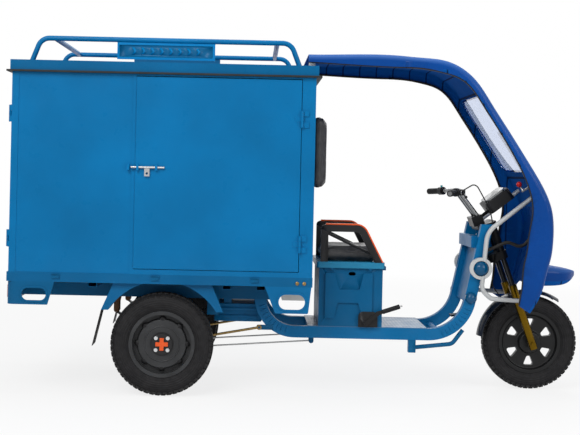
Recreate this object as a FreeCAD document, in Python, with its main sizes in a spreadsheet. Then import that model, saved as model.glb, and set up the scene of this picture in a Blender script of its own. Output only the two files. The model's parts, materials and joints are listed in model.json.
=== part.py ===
import FreeCAD, Part
import math
import os

# Electric cargo tricycle, millimetres, X forward, Y to the left, Z up, origin on the ground
Vec = FreeCAD.Vector
doc = FreeCAD.newDocument("cargo_tricycle")
sheet = doc.addObject("Spreadsheet::Sheet", "Dims")

SIZES = {
    # Stance and wheels
    "rear_axle_x": -700, "front_axle_x": 1240, "rear_tyre_r": 258, "front_tyre_r": 250,
    "half_track": 410, "rear_tyre_w": 102, "front_tyre_w": 88, "tyre_wall": 11,
    "bead_r": 153, "flange_r": 166, "rim_half_w": 41, "front_rim_half_w": 34, "rim_sheet": 5,
    "groove_w": 7, "groove_depth": 6, "hub_r": 62, "drum_r": 100, "drum_w": 46,
    "half_shaft_r": 15, "half_shaft_len": 260, "shaft_gap": 0.6, "dish_r": 112, "dish_depth": 22,
    "dimple_r": 11, "dimple_pcd_r": 116, "dimple_count": 8, "cap_r": 52, "cap_h": 14,
    "cross_len": 62, "cross_w": 20, "cross_h": 7, "nut_r": 8, "nut_pcd_r": 42, "nut_h": 10,
    "front_hub_r": 56, "front_hub_half_w": 46, "spoke_web": 30, "window_in_r": 76,
    "window_out_r": 128, "window_half_deg": 15, "window_out_half_deg": 13, "window_round": 9,
    "axle_pin_r": 7.5, "axle_pin_gap": 0.5,
    # Rear axle and springs
    "axle_tube_r": 30, "motor_r": 92, "motor_len": 150, "motor_y": 45,
    "diff_r": 78, "diff_len": 70, "backplate_r": 104, "backplate_t": 6, "wheel_gap": 3,
    "leaf_y": 262, "leaf_w": 44, "leaf_t": 7, "leaf_eye_z": 408, "leaf_front_x": -452,
    "leaf_rear_x": -948, "leaf_seat_z": 292, "eye_r": 15, "eye_bore_r": 8, "leaf_step": 70,
    "clip_half": 46,
    "shackle_len": 66, "shackle_w": 28, "shackle_t": 6, "hanger_w": 60, "hanger_t": 6,
    # Rods under the bed
    "torque_front_x": -213, "torque_z": 324, "torque_y": 225, "torque_r": 6.5,
    "torque_rear_x": -610, "torque_rear_z": 250, "rod_front_x": 62, "rod_front_z": 250,
    "rod_rear_x": -660, "rod_rear_z": 196, "rod_y": 142, "brake_rod_r": 4, "rod_eye_r": 13,
    "rod_eye_w": 10, "rod_pin_r": 5, "rod_eye_slack": 6, "rod_lug_w": 8, "rod_lug_gap": 2,
    # Cargo bed
    "bed_rear_x": -1472, "bed_front_x": 45, "bed_half_w": 500, "bed_low_z": 564, "bed_top_z": 611,
    "tube_wall": 2.5, "bed_rail_w": 32, "bed_floor_t": 3, "bed_floor_z": 604, "chassis_half": 262,
    "chassis_w": 46,
    "chassis_low_z": 476, "chassis_front_x": -150, "cross_w_x": 44, "cross_low_z": 540,
    "hook_w": 40, "hook_h": 26, "hook_t": 4, "hook_out": 9, "hook_pitch": 493, "hook_first_x": -1228,
    # Cargo box
    "box_rear_x": -1464, "box_front_x": 43, "post_w": 34, "mid_post_x": -865, "mid_post_w": 18,
    "wall_t": 1.5, "wall_inset": 3, "top_rail_low_z": 1594, "roof_low_z": 1612, "roof_top_z": 1662,
    "roof_rear_x": -1474, "roof_front_x": 55, "roof_sheet": 2,
    "gutter_out": 14, "gutter_low_z": 1603, "gutter_h": 9, "sill_top_z": 636,
    "door_rear_x": -846, "door_front_x": -28, "door_low_z": 639, "door_top_z": 1590, "door_t": 24,
    "door_skin": 2, "door_frame": 34, "door_proud": 4, "door_rib_w": 40,
    "hinge_r": 7, "hinge_pin_r": 3.5, "hinge_bore_gap": 0.4, "hinge_x": -24,
    "hinge_low_z": 734, "hinge_high_z": 1438, "hinge_h": 84, "hinge_leaf_w": 34, "hinge_leaf_t": 3,
    "knuckle_gap": 0.6, "rear_hinge_x": -1476,
    "rear_door_gap": 3, "rear_door_low_z": 622,
    # Door bolts
    "bolt_z": 1141, "bolt_r": 5.5, "bolt_x0": -866, "bolt_len": 166, "bolt_stand": 10,
    "staple_w": 12, "staple_h": 30, "keeper_x": -880, "handle_h": 44, "handle_w": 26, "handle_t": 4,
    "handle_hole_r": 6, "rear_bolt_z": 1080, "bolt_gap": 0.6,
    # Roof rack
    "rack_tube_r": 13, "rack_rear_x": -1388, "rack_front_x": -38,
    "rack_lean": 46, "rack_bend": 60, "plate_x0": -959, "plate_x1": -466,
    "plate_t": 6, "plate_border": 12, "plate_depth": 3, "chevron_w": 12, "chevron_h": 34,
    "chevron_pitch": 46, "chevron_count": 8,
    # Bumper, side plates, lamps, mudguards
    "bumper_low_z": 450, "bumper_t": 3, "bumper_len": 235, "bumper_slant": 32, "bumper_round": 34,
    "slot_len": 120, "slot_h": 61, "slot_x": -1335, "slot_z": 502, "lip_t": 6, "lip_w": 9,
    "side_plate_x0": -191, "side_plate_low_x0": -138, "side_plate_low_x1": 26, "side_plate_x1": 40,
    "side_plate_low_z": 432, "side_plate_top_z": 564, "side_slot_x": -56, "side_slot_z": 489,
    "side_slot_len": 130, "side_slot_h": 74, "lamp_w": 150, "lamp_h": 62, "lamp_t": 16, "lamp_y": 330,
    "lamp_z": 505, "guard_y_in": 356, "guard_y_out": 472, "guard_r": 318, "guard_t": 3,
    "flap_w": 110, "flap_h": 180, "flap_t": 3,
    # Main frame
    "beam_y": 195, "beam_w": 40, "beam_depth": 60, "beam_low_z": 274, "beam_rear_x": -210,
    "beam_top_z": 540, "beam_rear_r": 150, "beam_front_r": 190, "beam_bend_x": 868,
    "column_top_x": 995, "column_top_z": 883,
    "cross_r": 19, "floor_x0": 40, "floor_x1": 660, "floor_t": 4, "rake_deg": 20, "fork_offset": 48,
    "head_r": 30, "head_bore_r": 17.6,
    "apron_t": 4, "guard_post_w": 38, "guard_post_d": 34,
    "guard_post_x": 585, "guard_low_z": 208, "belly_r": 11, "belly_end_x": 796,
    # Cab shell
    "cab_half_w": 365, "cab_t": 4, "cab_round": 34, "screen_half_w": 296, "glass_t": 5,
    "glass_lap": 9, "trim_r": 5, "nose_half_w": 150,
    "nose_t": 4, "support_r": 12, "support_y": 233, "ring_x": 931, "ring_z": 655,
    "ring_r": 57, "ring_bore": 40, "ring_w": 26, "dome_r": 39, "dome_h": 46, "dome2_r": 30,
    "dome2_x": 884, "dome2_z": 500,
    # Seat
    "seat_x0": 93, "seat_x1": 424, "seat_half_w": 224, "seat_low_z": 338, "seat_top_z": 670.6,
    "seat_sheet": 3, "seat_emboss": 6, "lid_x0": 80, "lid_x1": 432, "lid_half_w": 234, "lid_z": 642,
    "lid_h": 32, "lid_round": 12, "lid_wall": 3, "lid_hinge_r": 5, "cushion_x0": 84,
    "cushion_x1": 424, "cushion_half_w": 208, "cushion_h": 80, "cushion_round": 40,
    "arm_top_z": 866, "arm_t": 26, "arm_y": 224,
    "brace_r": 7, "back_x0": 43, "back_depth": 78, "back_half_w": 205, "back_low_z": 1033,
    "back_top_z": 1447, "battery_len": 180, "battery_w": 78, "battery_h": 170,
    "battery_gap": 6, "controller_x": -95, "controller_len": 120,
    "controller_w": 220, "controller_h": 86, "controller_z": 454, "port_r": 9, "port_x": 265, "port_z": 612,
    # Hand brake and pedal
    "hb_x": 333, "hb_z": 352, "hb_y": 244, "hb_plate_t": 5, "hb_gap": 1, "hb_lever_t": 8,
    "hb_pin_r": 6, "hb_bend_x": 400, "hb_bend_z": 412, "hb_end_x": 512, "hb_end_z": 450, "hb_grip_r": 12,
    "hb_grip_len": 92, "hb_bar": 16, "hb_button_r": 4.5, "hb_button_out": 14, "hb_button_in": 30,
    "hb_slot_gap": 0.5, "hb_stub": 60,
    "pedal_y": -110, "pedal_x": 835, "pedal_z": 396, "pedal_len": 74, "pedal_w": 62, "pedal_t": 9,
    "pedal_pivot_x": 770, "pedal_pivot_z": 300, "pedal_bar": 14, "pedal_boss_r": 14, "pedal_pin_r": 7,
    "pedal_boss_w": 30, "pedal_lug_t": 8, "pedal_lug_gap": 1,
    # Fork and bars
    "leg_y": 92, "leg_r": 21, "stanchion_r": 14.5, "stanchion_gap": 0.5, "leg_top": 330, "leg_foot": 28,
    "crown_s": 500, "crown_t": 42, "upper_s": 672, "upper_t": 22, "crown_d": 54, "crown_r": 25,
    "shroud_r": 22, "stem_r": 17, "axle_nut_r": 13,
    "axle_nut_w": 12, "bar_r": 11, "riser_y": 42, "riser_r": 12, "clamp_x": 60, "clamp_y": 130,
    "clamp_h": 52, "bar_x": 838, "bar_z": 1056, "bar_mid_y": 95, "bar_bend_y": 190, "bar_end_y": 345,
    "bar_end_x": 742, "bar_end_z": 1042, "bar_bend": 60, "grip_r": 16.5, "grip_len": 108,
    "throttle_gap": 0.5, "pod_len": 34, "pod_r": 22, "button_r": 6, "button_h": 9, "button_gap": 0.5,
    "lever_r": 4.5, "lever_ball_r": 8, "lever_pivot_r": 5, "lever_boss_r": 10,
    "lever_boss_h": 16, "lever_gap": 0.6, "perch_t": 7,
    "gauge_len": 150, "gauge_w": 190, "gauge_h": 62, "gauge_x": 1054, "gauge_z": 1006, "gauge_tilt": 38,
    "gauge_round": 22, "bezel_h": 12, "bezel_in": 16, "gauge_arm_r": 9,
    "cable_r": 3.2, "mud_front_r": 281, "mud_front_w": 116, "mud_front_t": 3, "mud_a0": 57, "mud_a1": 174,
    "mud_crown": 16, "stay_r": 5,
    # Wiper and loom
    "clamp_gap": 0.05, "cushion_inset": 14, "lid_hinge_x": 441, "lid_hinge_z": 644, "lid_knuckle_y": 120,
    "lid_knuckle_w": 30, "lid_lug_w": 15, "lid_lug_gap": 2, "box_leaf_t": 6, "brass_r": 9, "brass_t": 4,
    "brass_x0": -31, "brass_pitch": 35, "brass_z": 582, "bracket_w": 35, "neck_half": 26, "neck_h": 60,
    "rear_tip_gap": 3, "emboss_round": 8, "hook_tab": 5, "rack_cross_in": 70,
    "shackle_over": 34, "dome2_h": 34, "gutter_end": 16,
    "guard_low_z": 428, "guard_foot_x": 304, "guard_head_x": 245, "flap_swing": 42, "pedal_tube_x": 735,
    "apron_low_z": 470, "apron_top_z": 750, "head_gap": 1, "bracket_x": 888, "torque_lug_x": -140,
    "pin_head_t": 5,
    "guard_post_low_z": 208, "belly_z": 232, "belly_end_z": 256, "belly_bend": 40, "belly_tip_x": 850,
    "belly_tip_z": 330,
    "glass_gap": 0.8, "probe_len": 600, "cut_size": 150, "foot_gap": 0.8, "rack_sink": 12, "arch_top_z": 562,
    "arch_low_z": 300, "arch_x": 1000, "arch_len": 300,
    "arch_half": 218, "arch_round": 70, "bead_lip": 1, "disc_round": 6, "cast_round": 8, "rim_round": 4,
    "hinge_post_gap": 3, "screen_half_h": 225, "screen_round": 46, "screen_reach": 60, "foot_w": 30,
    "foot_len": 60,
    "foot_x": 14, "foot_y": 290, "cond_x0": 1290, "cond_z0": 930, "cond_x1": 1150, "cond_z1": 765,
    "cond_x2": 1075, "cond_z2": 795, "cond_x3": 940, "cond_z3": 735, "cond_bend": 45, "cond_y": -192,
    "cond_r": 9,
    "lug_r": 9, "lug_z": 640, "lid_lug_r": 7, "lid_arm_h": 8, "lid_arm_z": 628, "brace_x0": 122,
    "brace_z0": 826,
    "brace_x1": 392, "brace_z1": 702, "hb_plate_x0": 300, "hb_plate_x1": 400, "hb_plate_z": 418,
    "hb_plate_r": 24,
    "pedal_tilt": 8, "stanchion_low": 215, "leg_bore_low": 150, "stay_len": 46, "stay_s": 262,
    "bar_bend_x": 812,
    "bar_bend_z": 1050, "riser_sink": 10, "button_well": 12, "button_foot": 16, "perch_reach": 38,
    "lever_tip_x": 825, "lever_tip_y": -340, "lever_tip_z": 1026, "wiper_arm_t": 6, "wiper_blade_x": 70,
    "wiper_pin_r": 6, "wiper_gap": 0.6, "wiper_s_x": 1216, "wiper_z": 1084, "wiper_y": -60,
    "wiper_arm_len": 330, "wiper_arm_r": 4, "wiper_blade_len": 270, "wiper_blade_h": 12,
    "wiper_blade_t": 7, "wiper_out": 27, "wiper_in": 50, "knob_r": 15, "knob_rod": 40,
    # Lengths that the tables of shares are taken of
    "cab_nose_x": 1277, "cab_roof_z": 1741, "cab_wing": 130, "support_bend": 110, "nose_tip_x": 1468,
    "nose_top_z": 666, "arm_rear_x": 98, "arm_front_x": 418, "arm_round": 60,
    # Clearances and overhangs between the box, its doors, the rack and the axle
    "roof_over": 7, "hinge_out": 11, "rear_hinge_in": 30, "rack_in": 100, "rack_h": 120, "plate_drop": 98,
    "axle_in": 88, "lug_round": 6, "rear_keeper_y": 9, "bumper_gap": 2,
    # Sizes that follow others
    "roof_half_w": "=bed_half_w + roof_over", "hinge_y": "=-bed_half_w - hinge_out",
    "rear_hinge_y": "=bed_half_w - rear_hinge_in", "rear_door_half": "=bed_half_w - post_w - rear_door_gap",
    "rack_y": "=bed_half_w - rack_in", "rack_z": "=roof_top_z + rack_h",
    "plate_low_z": "=rack_z - plate_drop",
    "axle_half": "=half_track - axle_in",
}
for row, (alias, value) in enumerate(SIZES.items(), 1):
    sheet.set(f"A{row}", alias)
    sheet.set(f"B{row}", str(value))
    sheet.setAlias(f"B{row}", alias)
doc.recompute()

# Outer line of the cab from the side: shares of its nose x, its roof height and the depth of its wing
CAB_SHARES = [(0.00626, 0.99713, 0.30769), (0.19577, 1, 0.38462), (0.39233, 0.99828, 0.44615),
              (0.53406, 0.99024, 0.47692), (0.60532, 0.973, 0.43077), (0.65544, 0.94773, 0.36923),
              (0.71339, 0.89719, 0.33846), (0.78622, 0.81562, 0.33077), (0.85356, 0.74095, 0.35385),
              (0.91778, 0.66801, 0.44615), (0.96946, 0.60138, 0.64615), (0.99295, 0.55141, 0.81538),
              (1, 0.50546, 0.93846), (0.99843, 0.45376, 1), (0.9859, 0.39805, 0.98462),
              (0.96711, 0.33889, 0.90769), (0.94127, 0.28719, 0.73846), (0.91229, 0.25273, 0.53846)]
SCREEN_SPAN = (5, 9)
# Route of the cab support tube from the side: shares of the nose x, the roof height and its widest bend
SUPPORT_SHARES = [(0.98825, 0.62435, 0), (0.75176, 0.48593, 1), (0.73297, 0.31304, 0.54545),
                  (0.77134, 0.28719, 0.36364), (0.96319, 0.27972, 0)]
# Beak over the front wheel: shares of its tip x, half width, and twice of its top
NOSE_SHARES = [(0.81471, 1, 0.83784, 1), (0.85831, 1, 0.84084, 0.997),
               (0.90599, 0.97, 0.84535, 0.99249), (0.95368, 0.8, 0.85736, 0.97898),
               (0.98501, 0.5, 0.88889, 0.96847), (1, 0.28, 0.91892, 0.95796)]
# Armrest lines: shares of its length, its height above the lid and its widest corner
ARM_SHARES = [(0, 0, 0), (0, 1, 0.36667), (0.6875, 1, 1), (1, 0, 0)]
ARM_HOLE_SHARES = [(0.11875, 0, 0), (0.11875, 0.8125, 0.23333), (0.61875, 0.8125, 0.56667),
                   (0.875, 0, 0)]
TRIM_SHARES = [(0.075, 1, 0), (0.6875, 1, 1), (1, 0, 0), (1.02188, 0, 0), (0.70062, 1.03646, 1.11667),
               (0.075, 1.03646, 0)]
# Cushion sections: share of its height, inset as a multiple
CUSHION_LEVELS = [(0, 0.9), (0.14, 0.1), (0.4, 0), (0.72, 0.2), (0.9, 1.1), (1, 3.6)]
# Front brake cable: x, y, z, bend radius
CABLE_LINE = [(834, -224, 1060), (905, -176, 1098, 40), (990, -142, 960, 60), (1034, -138, 760, 60),
              (1012, -122, 560, 60),
              (1118, -68, 432)]
PORT_SHARES = (0.2, 0.8)
EMBOSS_TALL = 0.93
NOSE_ROUND_SHARE = 0.7
DOME_SHARE = 0.4
STRAP_SHARE = 1.25
FLAT_SHARE = 0.95
CLAMP_SHARE = 0.65
# Raised H panel on the seat barrel side, as shares of the side's length and height
EMBOSS_SHARES = [(0.10, 0.90), (0.24, 0.90), (0.32, 0.62), (0.64, 0.62), (0.70, 0.90), (0.84, 0.90),
                 (0.84, 0.14), (0.70, 0.14), (0.62, 0.40), (0.30, 0.40), (0.24, 0.14), (0.10, 0.14)]

APRON_SHARE = 0.5
NODES = {}
SYMMETRY_PLANE = Vec(0, 1, 0)


def d(alias):
    return float(sheet.get(alias))


def tied(text):
    # Puts the sheet's name before every alias in an expression
    words = text.replace("(", " ( ").replace(")", " ) ").split()
    return " ".join(("Dims." + word if word in SIZES else "-Dims." + word[1:] if word[1:] in SIZES else word)
                    for word in words)


def bind(thing, prop, text):
    thing.setExpression(prop, tied(text))


def seat(thing, at):
    for axis, text in zip("xyz", at):
        bind(thing, ".Placement.Base." + axis, text)


def node(name, thing):
    thing.Label = name
    NODES[name] = thing
    return thing


def block(name, size, at, turn=None):
    made = doc.addObject("Part::Box", name)
    for prop, text in zip(("Length", "Width", "Height"), size):
        bind(made, prop, text)
    if turn:
        made.Placement = FreeCAD.Placement(Vec(0, 0, 0), FreeCAD.Rotation(turn[0], turn[1]))
    seat(made, at)
    return made


def rod(name, radius, height, at, along=Vec(0, 1, 0)):
    made = doc.addObject("Part::Cylinder", name)
    bind(made, "Radius", radius)
    bind(made, "Height", height)
    made.Placement = FreeCAD.Placement(Vec(0, 0, 0), FreeCAD.Rotation(Vec(0, 0, 1), along))
    seat(made, at)
    return made


def solid(name, shape):
    made = doc.addObject("Part::Feature", name)
    made.Shape = shape
    return made


def group(name, things):
    made = doc.addObject("Part::Compound", name)
    made.Links = things
    return made


def fused(name, things):
    made = doc.addObject("Part::MultiFuse", name)
    made.Shapes = things
    made.Refine = True
    return made


def less(name, base, tools):
    made = doc.addObject("Part::Cut", name)
    made.Base = base
    made.Tool = tools[0] if len(tools) == 1 else group(name + "_tools", tools)
    made.Refine = True
    return made


def bar(name, size, at, run):
    # A rectangular tube, open at both ends of the axis that it runs along
    inner = [text if k == run else f"({text}) - 2 * tube_wall" for k, text in enumerate(size)]
    start = [text if k == run else f"{text} + tube_wall" for k, text in enumerate(at)]
    return less(name, block(name + "_outside", size, at), [block(name + "_inside", inner, start)])


def mirrored(name, source):
    made = doc.addObject("Part::Mirroring", name)
    made.Source = source
    made.Normal = SYMMETRY_PLANE
    return made


def both(name, source):
    return group(name, [source, mirrored(name + "_left", source)])


def corner(a, b, c, radius):
    # Tangent points and middle of the arc that rounds the corner at b
    u = (a - b).normalize()
    v = (c - b).normalize()
    half = u.getAngle(v) / 2
    cut = radius / math.tan(half)
    middle = (u + v).normalize()
    centre = b + middle * (radius / math.sin(half))
    return b + u * cut, centre - middle * radius, b + v * cut


def rounded(points, closed=True):
    # Lines and tangent arcs through (u, v, radius) points
    spots = [Vec(p[0], p[1], 0) for p in points]
    count = len(spots)
    pieces = []
    ends = []
    for i, p in enumerate(points):
        radius = p[2] if len(p) > 2 else 0
        inner = closed or 0 < i < count - 1
        if radius and inner:
            ends.append(corner(spots[i - 1], spots[i], spots[(i + 1) % count], radius))
        else:
            ends.append((spots[i], None, spots[i]))
    for i in range(count if closed else count - 1):
        start, middle, leave = ends[i]
        if middle:
            pieces.append(Part.ArcOfCircle(start, middle, leave))
        nxt = ends[(i + 1) % count][0]
        if (nxt - leave).Length > 1e-6:
            pieces.append(Part.LineSegment(leave, nxt))
    return pieces


def ring(u, v, radius):
    return [Part.Circle(Vec(u, v, 0), Vec(0, 0, 1), radius)]


def sketch(body, role, loops):
    made = doc.addObject("Sketcher::SketchObject", body.Name + "_sketch")
    body.addObject(made)
    plane = [f for f in body.Origin.OriginFeatures if f.Role == role][0]
    made.AttachmentSupport = [(plane, "")]
    made.MapMode = "FlatFace"
    for loop in loops:
        for piece in loop:
            made.addGeometry(piece)
    return made


def feature(body, kind, profile):
    made = doc.addObject("PartDesign::" + kind, body.Name + "_" + kind.lower())
    body.addObject(made)
    made.Profile = profile
    body.Tip = made
    return made


def padded(name, role, loops, length, at=("0", "0", "0")):
    # A body padded evenly to both sides of one of its own planes
    body = doc.addObject("PartDesign::Body", name)
    pad = feature(body, "Pad", sketch(body, role, loops))
    pad.SideType = "Symmetric"
    bind(pad, "Length", length)
    seat(body, at)
    return body


def pocketed(body, role, loops):
    cut = feature(body, "Pocket", sketch(body, role, loops))
    cut.SideType = "Symmetric"
    cut.Type = "ThroughAll"
    return cut


def revolved(name, loops, at=("0", "0", "0")):
    # A body turned about its own Y axis from a profile of radius against width
    body = doc.addObject("PartDesign::Body", name)
    profile = sketch(body, "XY_Plane", loops)
    turn = feature(body, "Revolution", profile)
    turn.ReferenceAxis = (profile, ["V_Axis"])
    turn.Angle = 360
    seat(body, at)
    return body


def around(body, cut, count):
    pattern = doc.addObject("PartDesign::PolarPattern", body.Name + "_pattern")
    body.addObject(pattern)
    axis = [f for f in body.Origin.OriginFeatures if f.Role == "Y_Axis"][0]
    pattern.Originals = [cut]
    pattern.Axis = (axis, [""])
    pattern.Angle = 360
    bind(pattern, "Occurrences", count)
    body.Tip = pattern
    return pattern


def spine(points):
    # A wire of straight runs and tangent arcs through (x, y, z, bend radius) points
    spots = [Vec(p[0], p[1], p[2]) for p in points]
    edges = []
    here = spots[0]
    for i in range(1, len(spots) - 1):
        radius = points[i][3] if len(points[i]) > 3 else 0
        if not radius:
            edges.append(Part.LineSegment(here, spots[i]).toShape())
            here = spots[i]
            continue
        start, middle, leave = corner(spots[i - 1], spots[i], spots[i + 1], radius)
        if (start - here).Length > 1e-6:
            edges.append(Part.LineSegment(here, start).toShape())
        edges.append(Part.ArcOfCircle(start, middle, leave).toShape())
        here = leave
    edges.append(Part.LineSegment(here, spots[-1]).toShape())
    return Part.Wire(edges)


def tube(points, radius):
    path = spine(points)
    first = path.Edges[0]
    start = first.valueAt(first.FirstParameter)
    heading = first.tangentAt(first.FirstParameter)
    profile = Part.Wire([Part.Circle(start, heading, radius).toShape()])
    return path.makePipeShell([profile], True, False)


def loft(wires):
    return Part.makeLoft(wires, True, False)


def wire3(pieces, place):
    made = Part.Wire([piece.toShape() for piece in pieces])
    made.Placement = place
    return made


def face_of(wires):
    return Part.Face(wires)


def rect(half_u, half_v, radius, du=0, dv=0):
    return rounded([(du - half_u, dv - half_v, radius), (du + half_u, dv - half_v, radius),
                    (du + half_u, dv + half_v, radius), (du - half_u, dv + half_v, radius)])


# Corner radius of a slot as a share of its height
ROUND_SHARE = 0.49


def stadium(u, v, length, height):
    return rect(length / 2, height / 2, height * ROUND_SHARE, u, v)




# Wheels
def tyre(name, outer, width, rim_half, at):
    r = d(outer)
    half = d(width) / 2
    wall = d("tyre_wall")
    bead = d("bead_r") + d("clamp_gap")
    seat_half = d(rim_half) - d("rim_sheet") - d("clamp_gap")
    neck = d("flange_r") + d("bead_lip")
    shoulder = r - half * SHOULDER_SHARE
    mid = (bead + r) / 2
    g = d("groove_w") / 2
    deep = d("groove_depth")
    line = half * GROOVE_SHARE
    tread = half * TREAD_SHARE
    pts = [Vec(neck, -seat_half, 0), Vec(mid, -half, 0), Vec(shoulder, -tread, 0)]
    pts2 = [Vec(shoulder, tread, 0), Vec(mid, half, 0), Vec(neck, seat_half, 0)]
    pts3 = [Vec(neck, seat_half - wall, 0), Vec(mid, half - wall, 0), Vec(r - wall, 0, 0)]
    pts4 = [Vec(r - wall, 0, 0), Vec(mid, wall - half, 0), Vec(neck, wall - seat_half, 0)]
    crown = [Vec(shoulder, -tread, 0), Vec(r - deep * TREAD_SHARE, -line - g, 0), Vec(r - deep, -line, 0),
             Vec(r - deep * GROOVE_SHARE, -line + g, 0), Vec(r, 0, 0)]
    mirror_crown = [Vec(p.x, -p.y, 0) for p in reversed(crown)]
    foot = [Vec(neck, seat_half, 0), Vec(bead, seat_half, 0), Vec(bead, seat_half - wall, 0),
            Vec(neck, seat_half - wall, 0)]
    foot_back = [Vec(p.x, -p.y, 0) for p in reversed(foot)]
    loop = [Part.ArcOfCircle(*pts)]
    chain = crown + mirror_crown[1:]
    for a, b in zip(chain, chain[1:]):
        loop.append(Part.LineSegment(a, b))
    loop.append(Part.ArcOfCircle(*pts2))
    for a, b in zip(foot, foot[1:]):
        loop.append(Part.LineSegment(a, b))
    loop.append(Part.ArcOfCircle(*pts3))
    loop.append(Part.ArcOfCircle(*pts4))
    for a, b in zip(foot_back, foot_back[1:]):
        loop.append(Part.LineSegment(a, b))
    return node(name, revolved(name, [loop], at))


SHOULDER_SHARE = 0.26
GROOVE_SHARE = 0.45
TREAD_SHARE = 0.8
rear_at = {"right": ("rear_axle_x", "-half_track", "rear_tyre_r"), "left": ("rear_axle_x", "half_track",
                                                                            "rear_tyre_r")}
front_at = ("front_axle_x", "0", "front_tyre_r")
tyre("rear_tyre_right", "rear_tyre_r", "rear_tyre_w", "rim_half_w", rear_at["right"])
tyre("rear_tyre_left", "rear_tyre_r", "rear_tyre_w", "rim_half_w", rear_at["left"])
tyre("front_tyre", "front_tyre_r", "front_tyre_w", "front_rim_half_w", front_at)


def rear_rim(side, out):
    # Pressed steel rim: barrel, flanges, dished disc with round dimples; out is -1 on the right
    name = "rear_rim_" + side
    flange = d("flange_r")
    base = d("bead_r")
    half = d("rim_half_w")
    t = d("rim_sheet")
    disc = out * d("dish_depth")
    dish = d("dish_r")
    hub = d("hub_r")
    face = out * half * DISC_SHARE
    loop = rounded([
        (hub * HUB_SHARE, face, 0), (dish, face, d("disc_round")), (dish + t, face - disc,
                                                                    d("disc_round")),
                                                                    (base - t, face - disc, 0),
        (base - t, out * -half, 0), (flange, out * -half, 0), (flange, out * (t - half), 0),
        (base, out * (t - half), 0), (base, out * (half - t), 0), (flange, out * (half - t), 0),
        (flange, out * half, 0), (base - t, out * half, 0), (base - t, face - disc + out * t, 0),
        (dish + t * RIM_STEP_SHARE, face - disc + out * t, d("disc_round")),
        (dish + t * RIM_STEP_SHARE, face + out * t, d("disc_round")),
        (hub * HUB_SHARE, face + out * t, 0)])
    body = revolved(name + "_rim", [loop], rear_at[side])
    cut = pocketed(body, "XZ_Plane", [ring(0, d("dimple_pcd_r") + d("dimple_r"), d("dimple_r"))])
    around(body, cut, "dimple_count")
    return body


DISC_SHARE = 0.3
HUB_SHARE = 0.5
RIM_STEP_SHARE = 2.2
for side, out in (("right", -1), ("left", 1)):
    rim = rear_rim(side, out)
    y0 = out * d("half_track")
    face_y = y0 + out * (d("rim_half_w") * DISC_SHARE + d("rim_sheet"))
    disc_y = y0 + out * d("rim_half_w") * DISC_SHARE
    ax = d("rear_axle_x")
    az = d("rear_tyre_r")
    pieces = [rim]
    toward = Vec(0, out, 0)
    drum_far = disc_y - out * d("drum_w")
    drum = solid("drum_" + side, Part.makeCylinder(d("drum_r"), d("drum_w"), Vec(ax, drum_far, az), toward))
    shaft = solid("half_shaft_" + side, Part.makeCylinder(
        d("half_shaft_r"), d("half_shaft_len"), Vec(ax, drum_far, az), toward * -1))
    cap = solid("hub_cap_" + side, Part.makeCylinder(
        d("cap_r"), d("cap_h") + d("rim_sheet"), Vec(ax, disc_y, az), toward))
    top_y = disc_y + out * (d("cap_h") + d("rim_sheet"))
    arms = []
    for long_x in (True, False):
        lx = d("cross_len") if long_x else d("cross_w")
        lz = d("cross_w") if long_x else d("cross_len")
        y_low = min(top_y, top_y + out * d("cross_h"))
        arms.append(Part.makeBox(lx, d("cross_h"), lz, Vec(ax - lx / 2, y_low, az - lz / 2)))
    for k in range(4):
        turn = math.radians(45 + 90 * k)
        spot = Vec(ax + d("nut_pcd_r") * math.cos(turn), top_y, az + d("nut_pcd_r") * math.sin(turn))
        arms.append(Part.makeCylinder(d("nut_r"), d("nut_h"), spot, toward))
    cover = solid("hub_cover_" + side, arms[0].multiFuse(arms[1:]))
    node("rear_rim_" + side, fused("rear_rim_" + side + "_all", pieces + [drum, shaft, cap, cover]))

# Front wheel: cast rim with six openings between the spokes
flange = d("flange_r")
base = d("bead_r")
half = d("front_rim_half_w")
t = d("rim_sheet")
web = d("spoke_web") / 2
hub_half = d("front_hub_half_w")
bore = d("axle_pin_r") + d("axle_pin_gap")
cast_r = d("cast_round")
rim_r = d("rim_round")
cast = rounded([
    (bore, -hub_half, 0), (d("front_hub_r"), -hub_half, cast_r), (d("front_hub_r") + t, -web, cast_r),
    (base - t * RIM_STEP_SHARE, -web, cast_r), (base - t, -half, rim_r), (flange, -half, 0),
    (flange, t - half, 0),
    (base, t - half, 0), (base, half - t, 0), (flange, half - t, 0), (flange, half, 0),
    (base - t, half, rim_r),
    (base - t * RIM_STEP_SHARE, web, cast_r), (d("front_hub_r") + t, web, cast_r),
    (d("front_hub_r"), hub_half, cast_r),
    (bore, hub_half, 0)])
front_rim = revolved("front_rim_body", [cast], front_at)
a_in = math.radians(d("window_half_deg"))
a_out = math.radians(d("window_out_half_deg"))
w_in = d("window_in_r")
w_out = d("window_out_r")
round_r = d("window_round")
window = rounded([
    (-w_in * math.sin(a_in) * HUB_SHARE, w_in, round_r), (w_in * math.sin(a_in) * HUB_SHARE, w_in, round_r),
    (w_out * math.sin(a_out), w_out * math.cos(a_out), round_r),
    (-w_out * math.sin(a_out), w_out * math.cos(a_out), round_r)])
SPOKES = "6"
around(front_rim, pocketed(front_rim, "XZ_Plane", [window]), SPOKES)
node("front_rim", front_rim)

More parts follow.
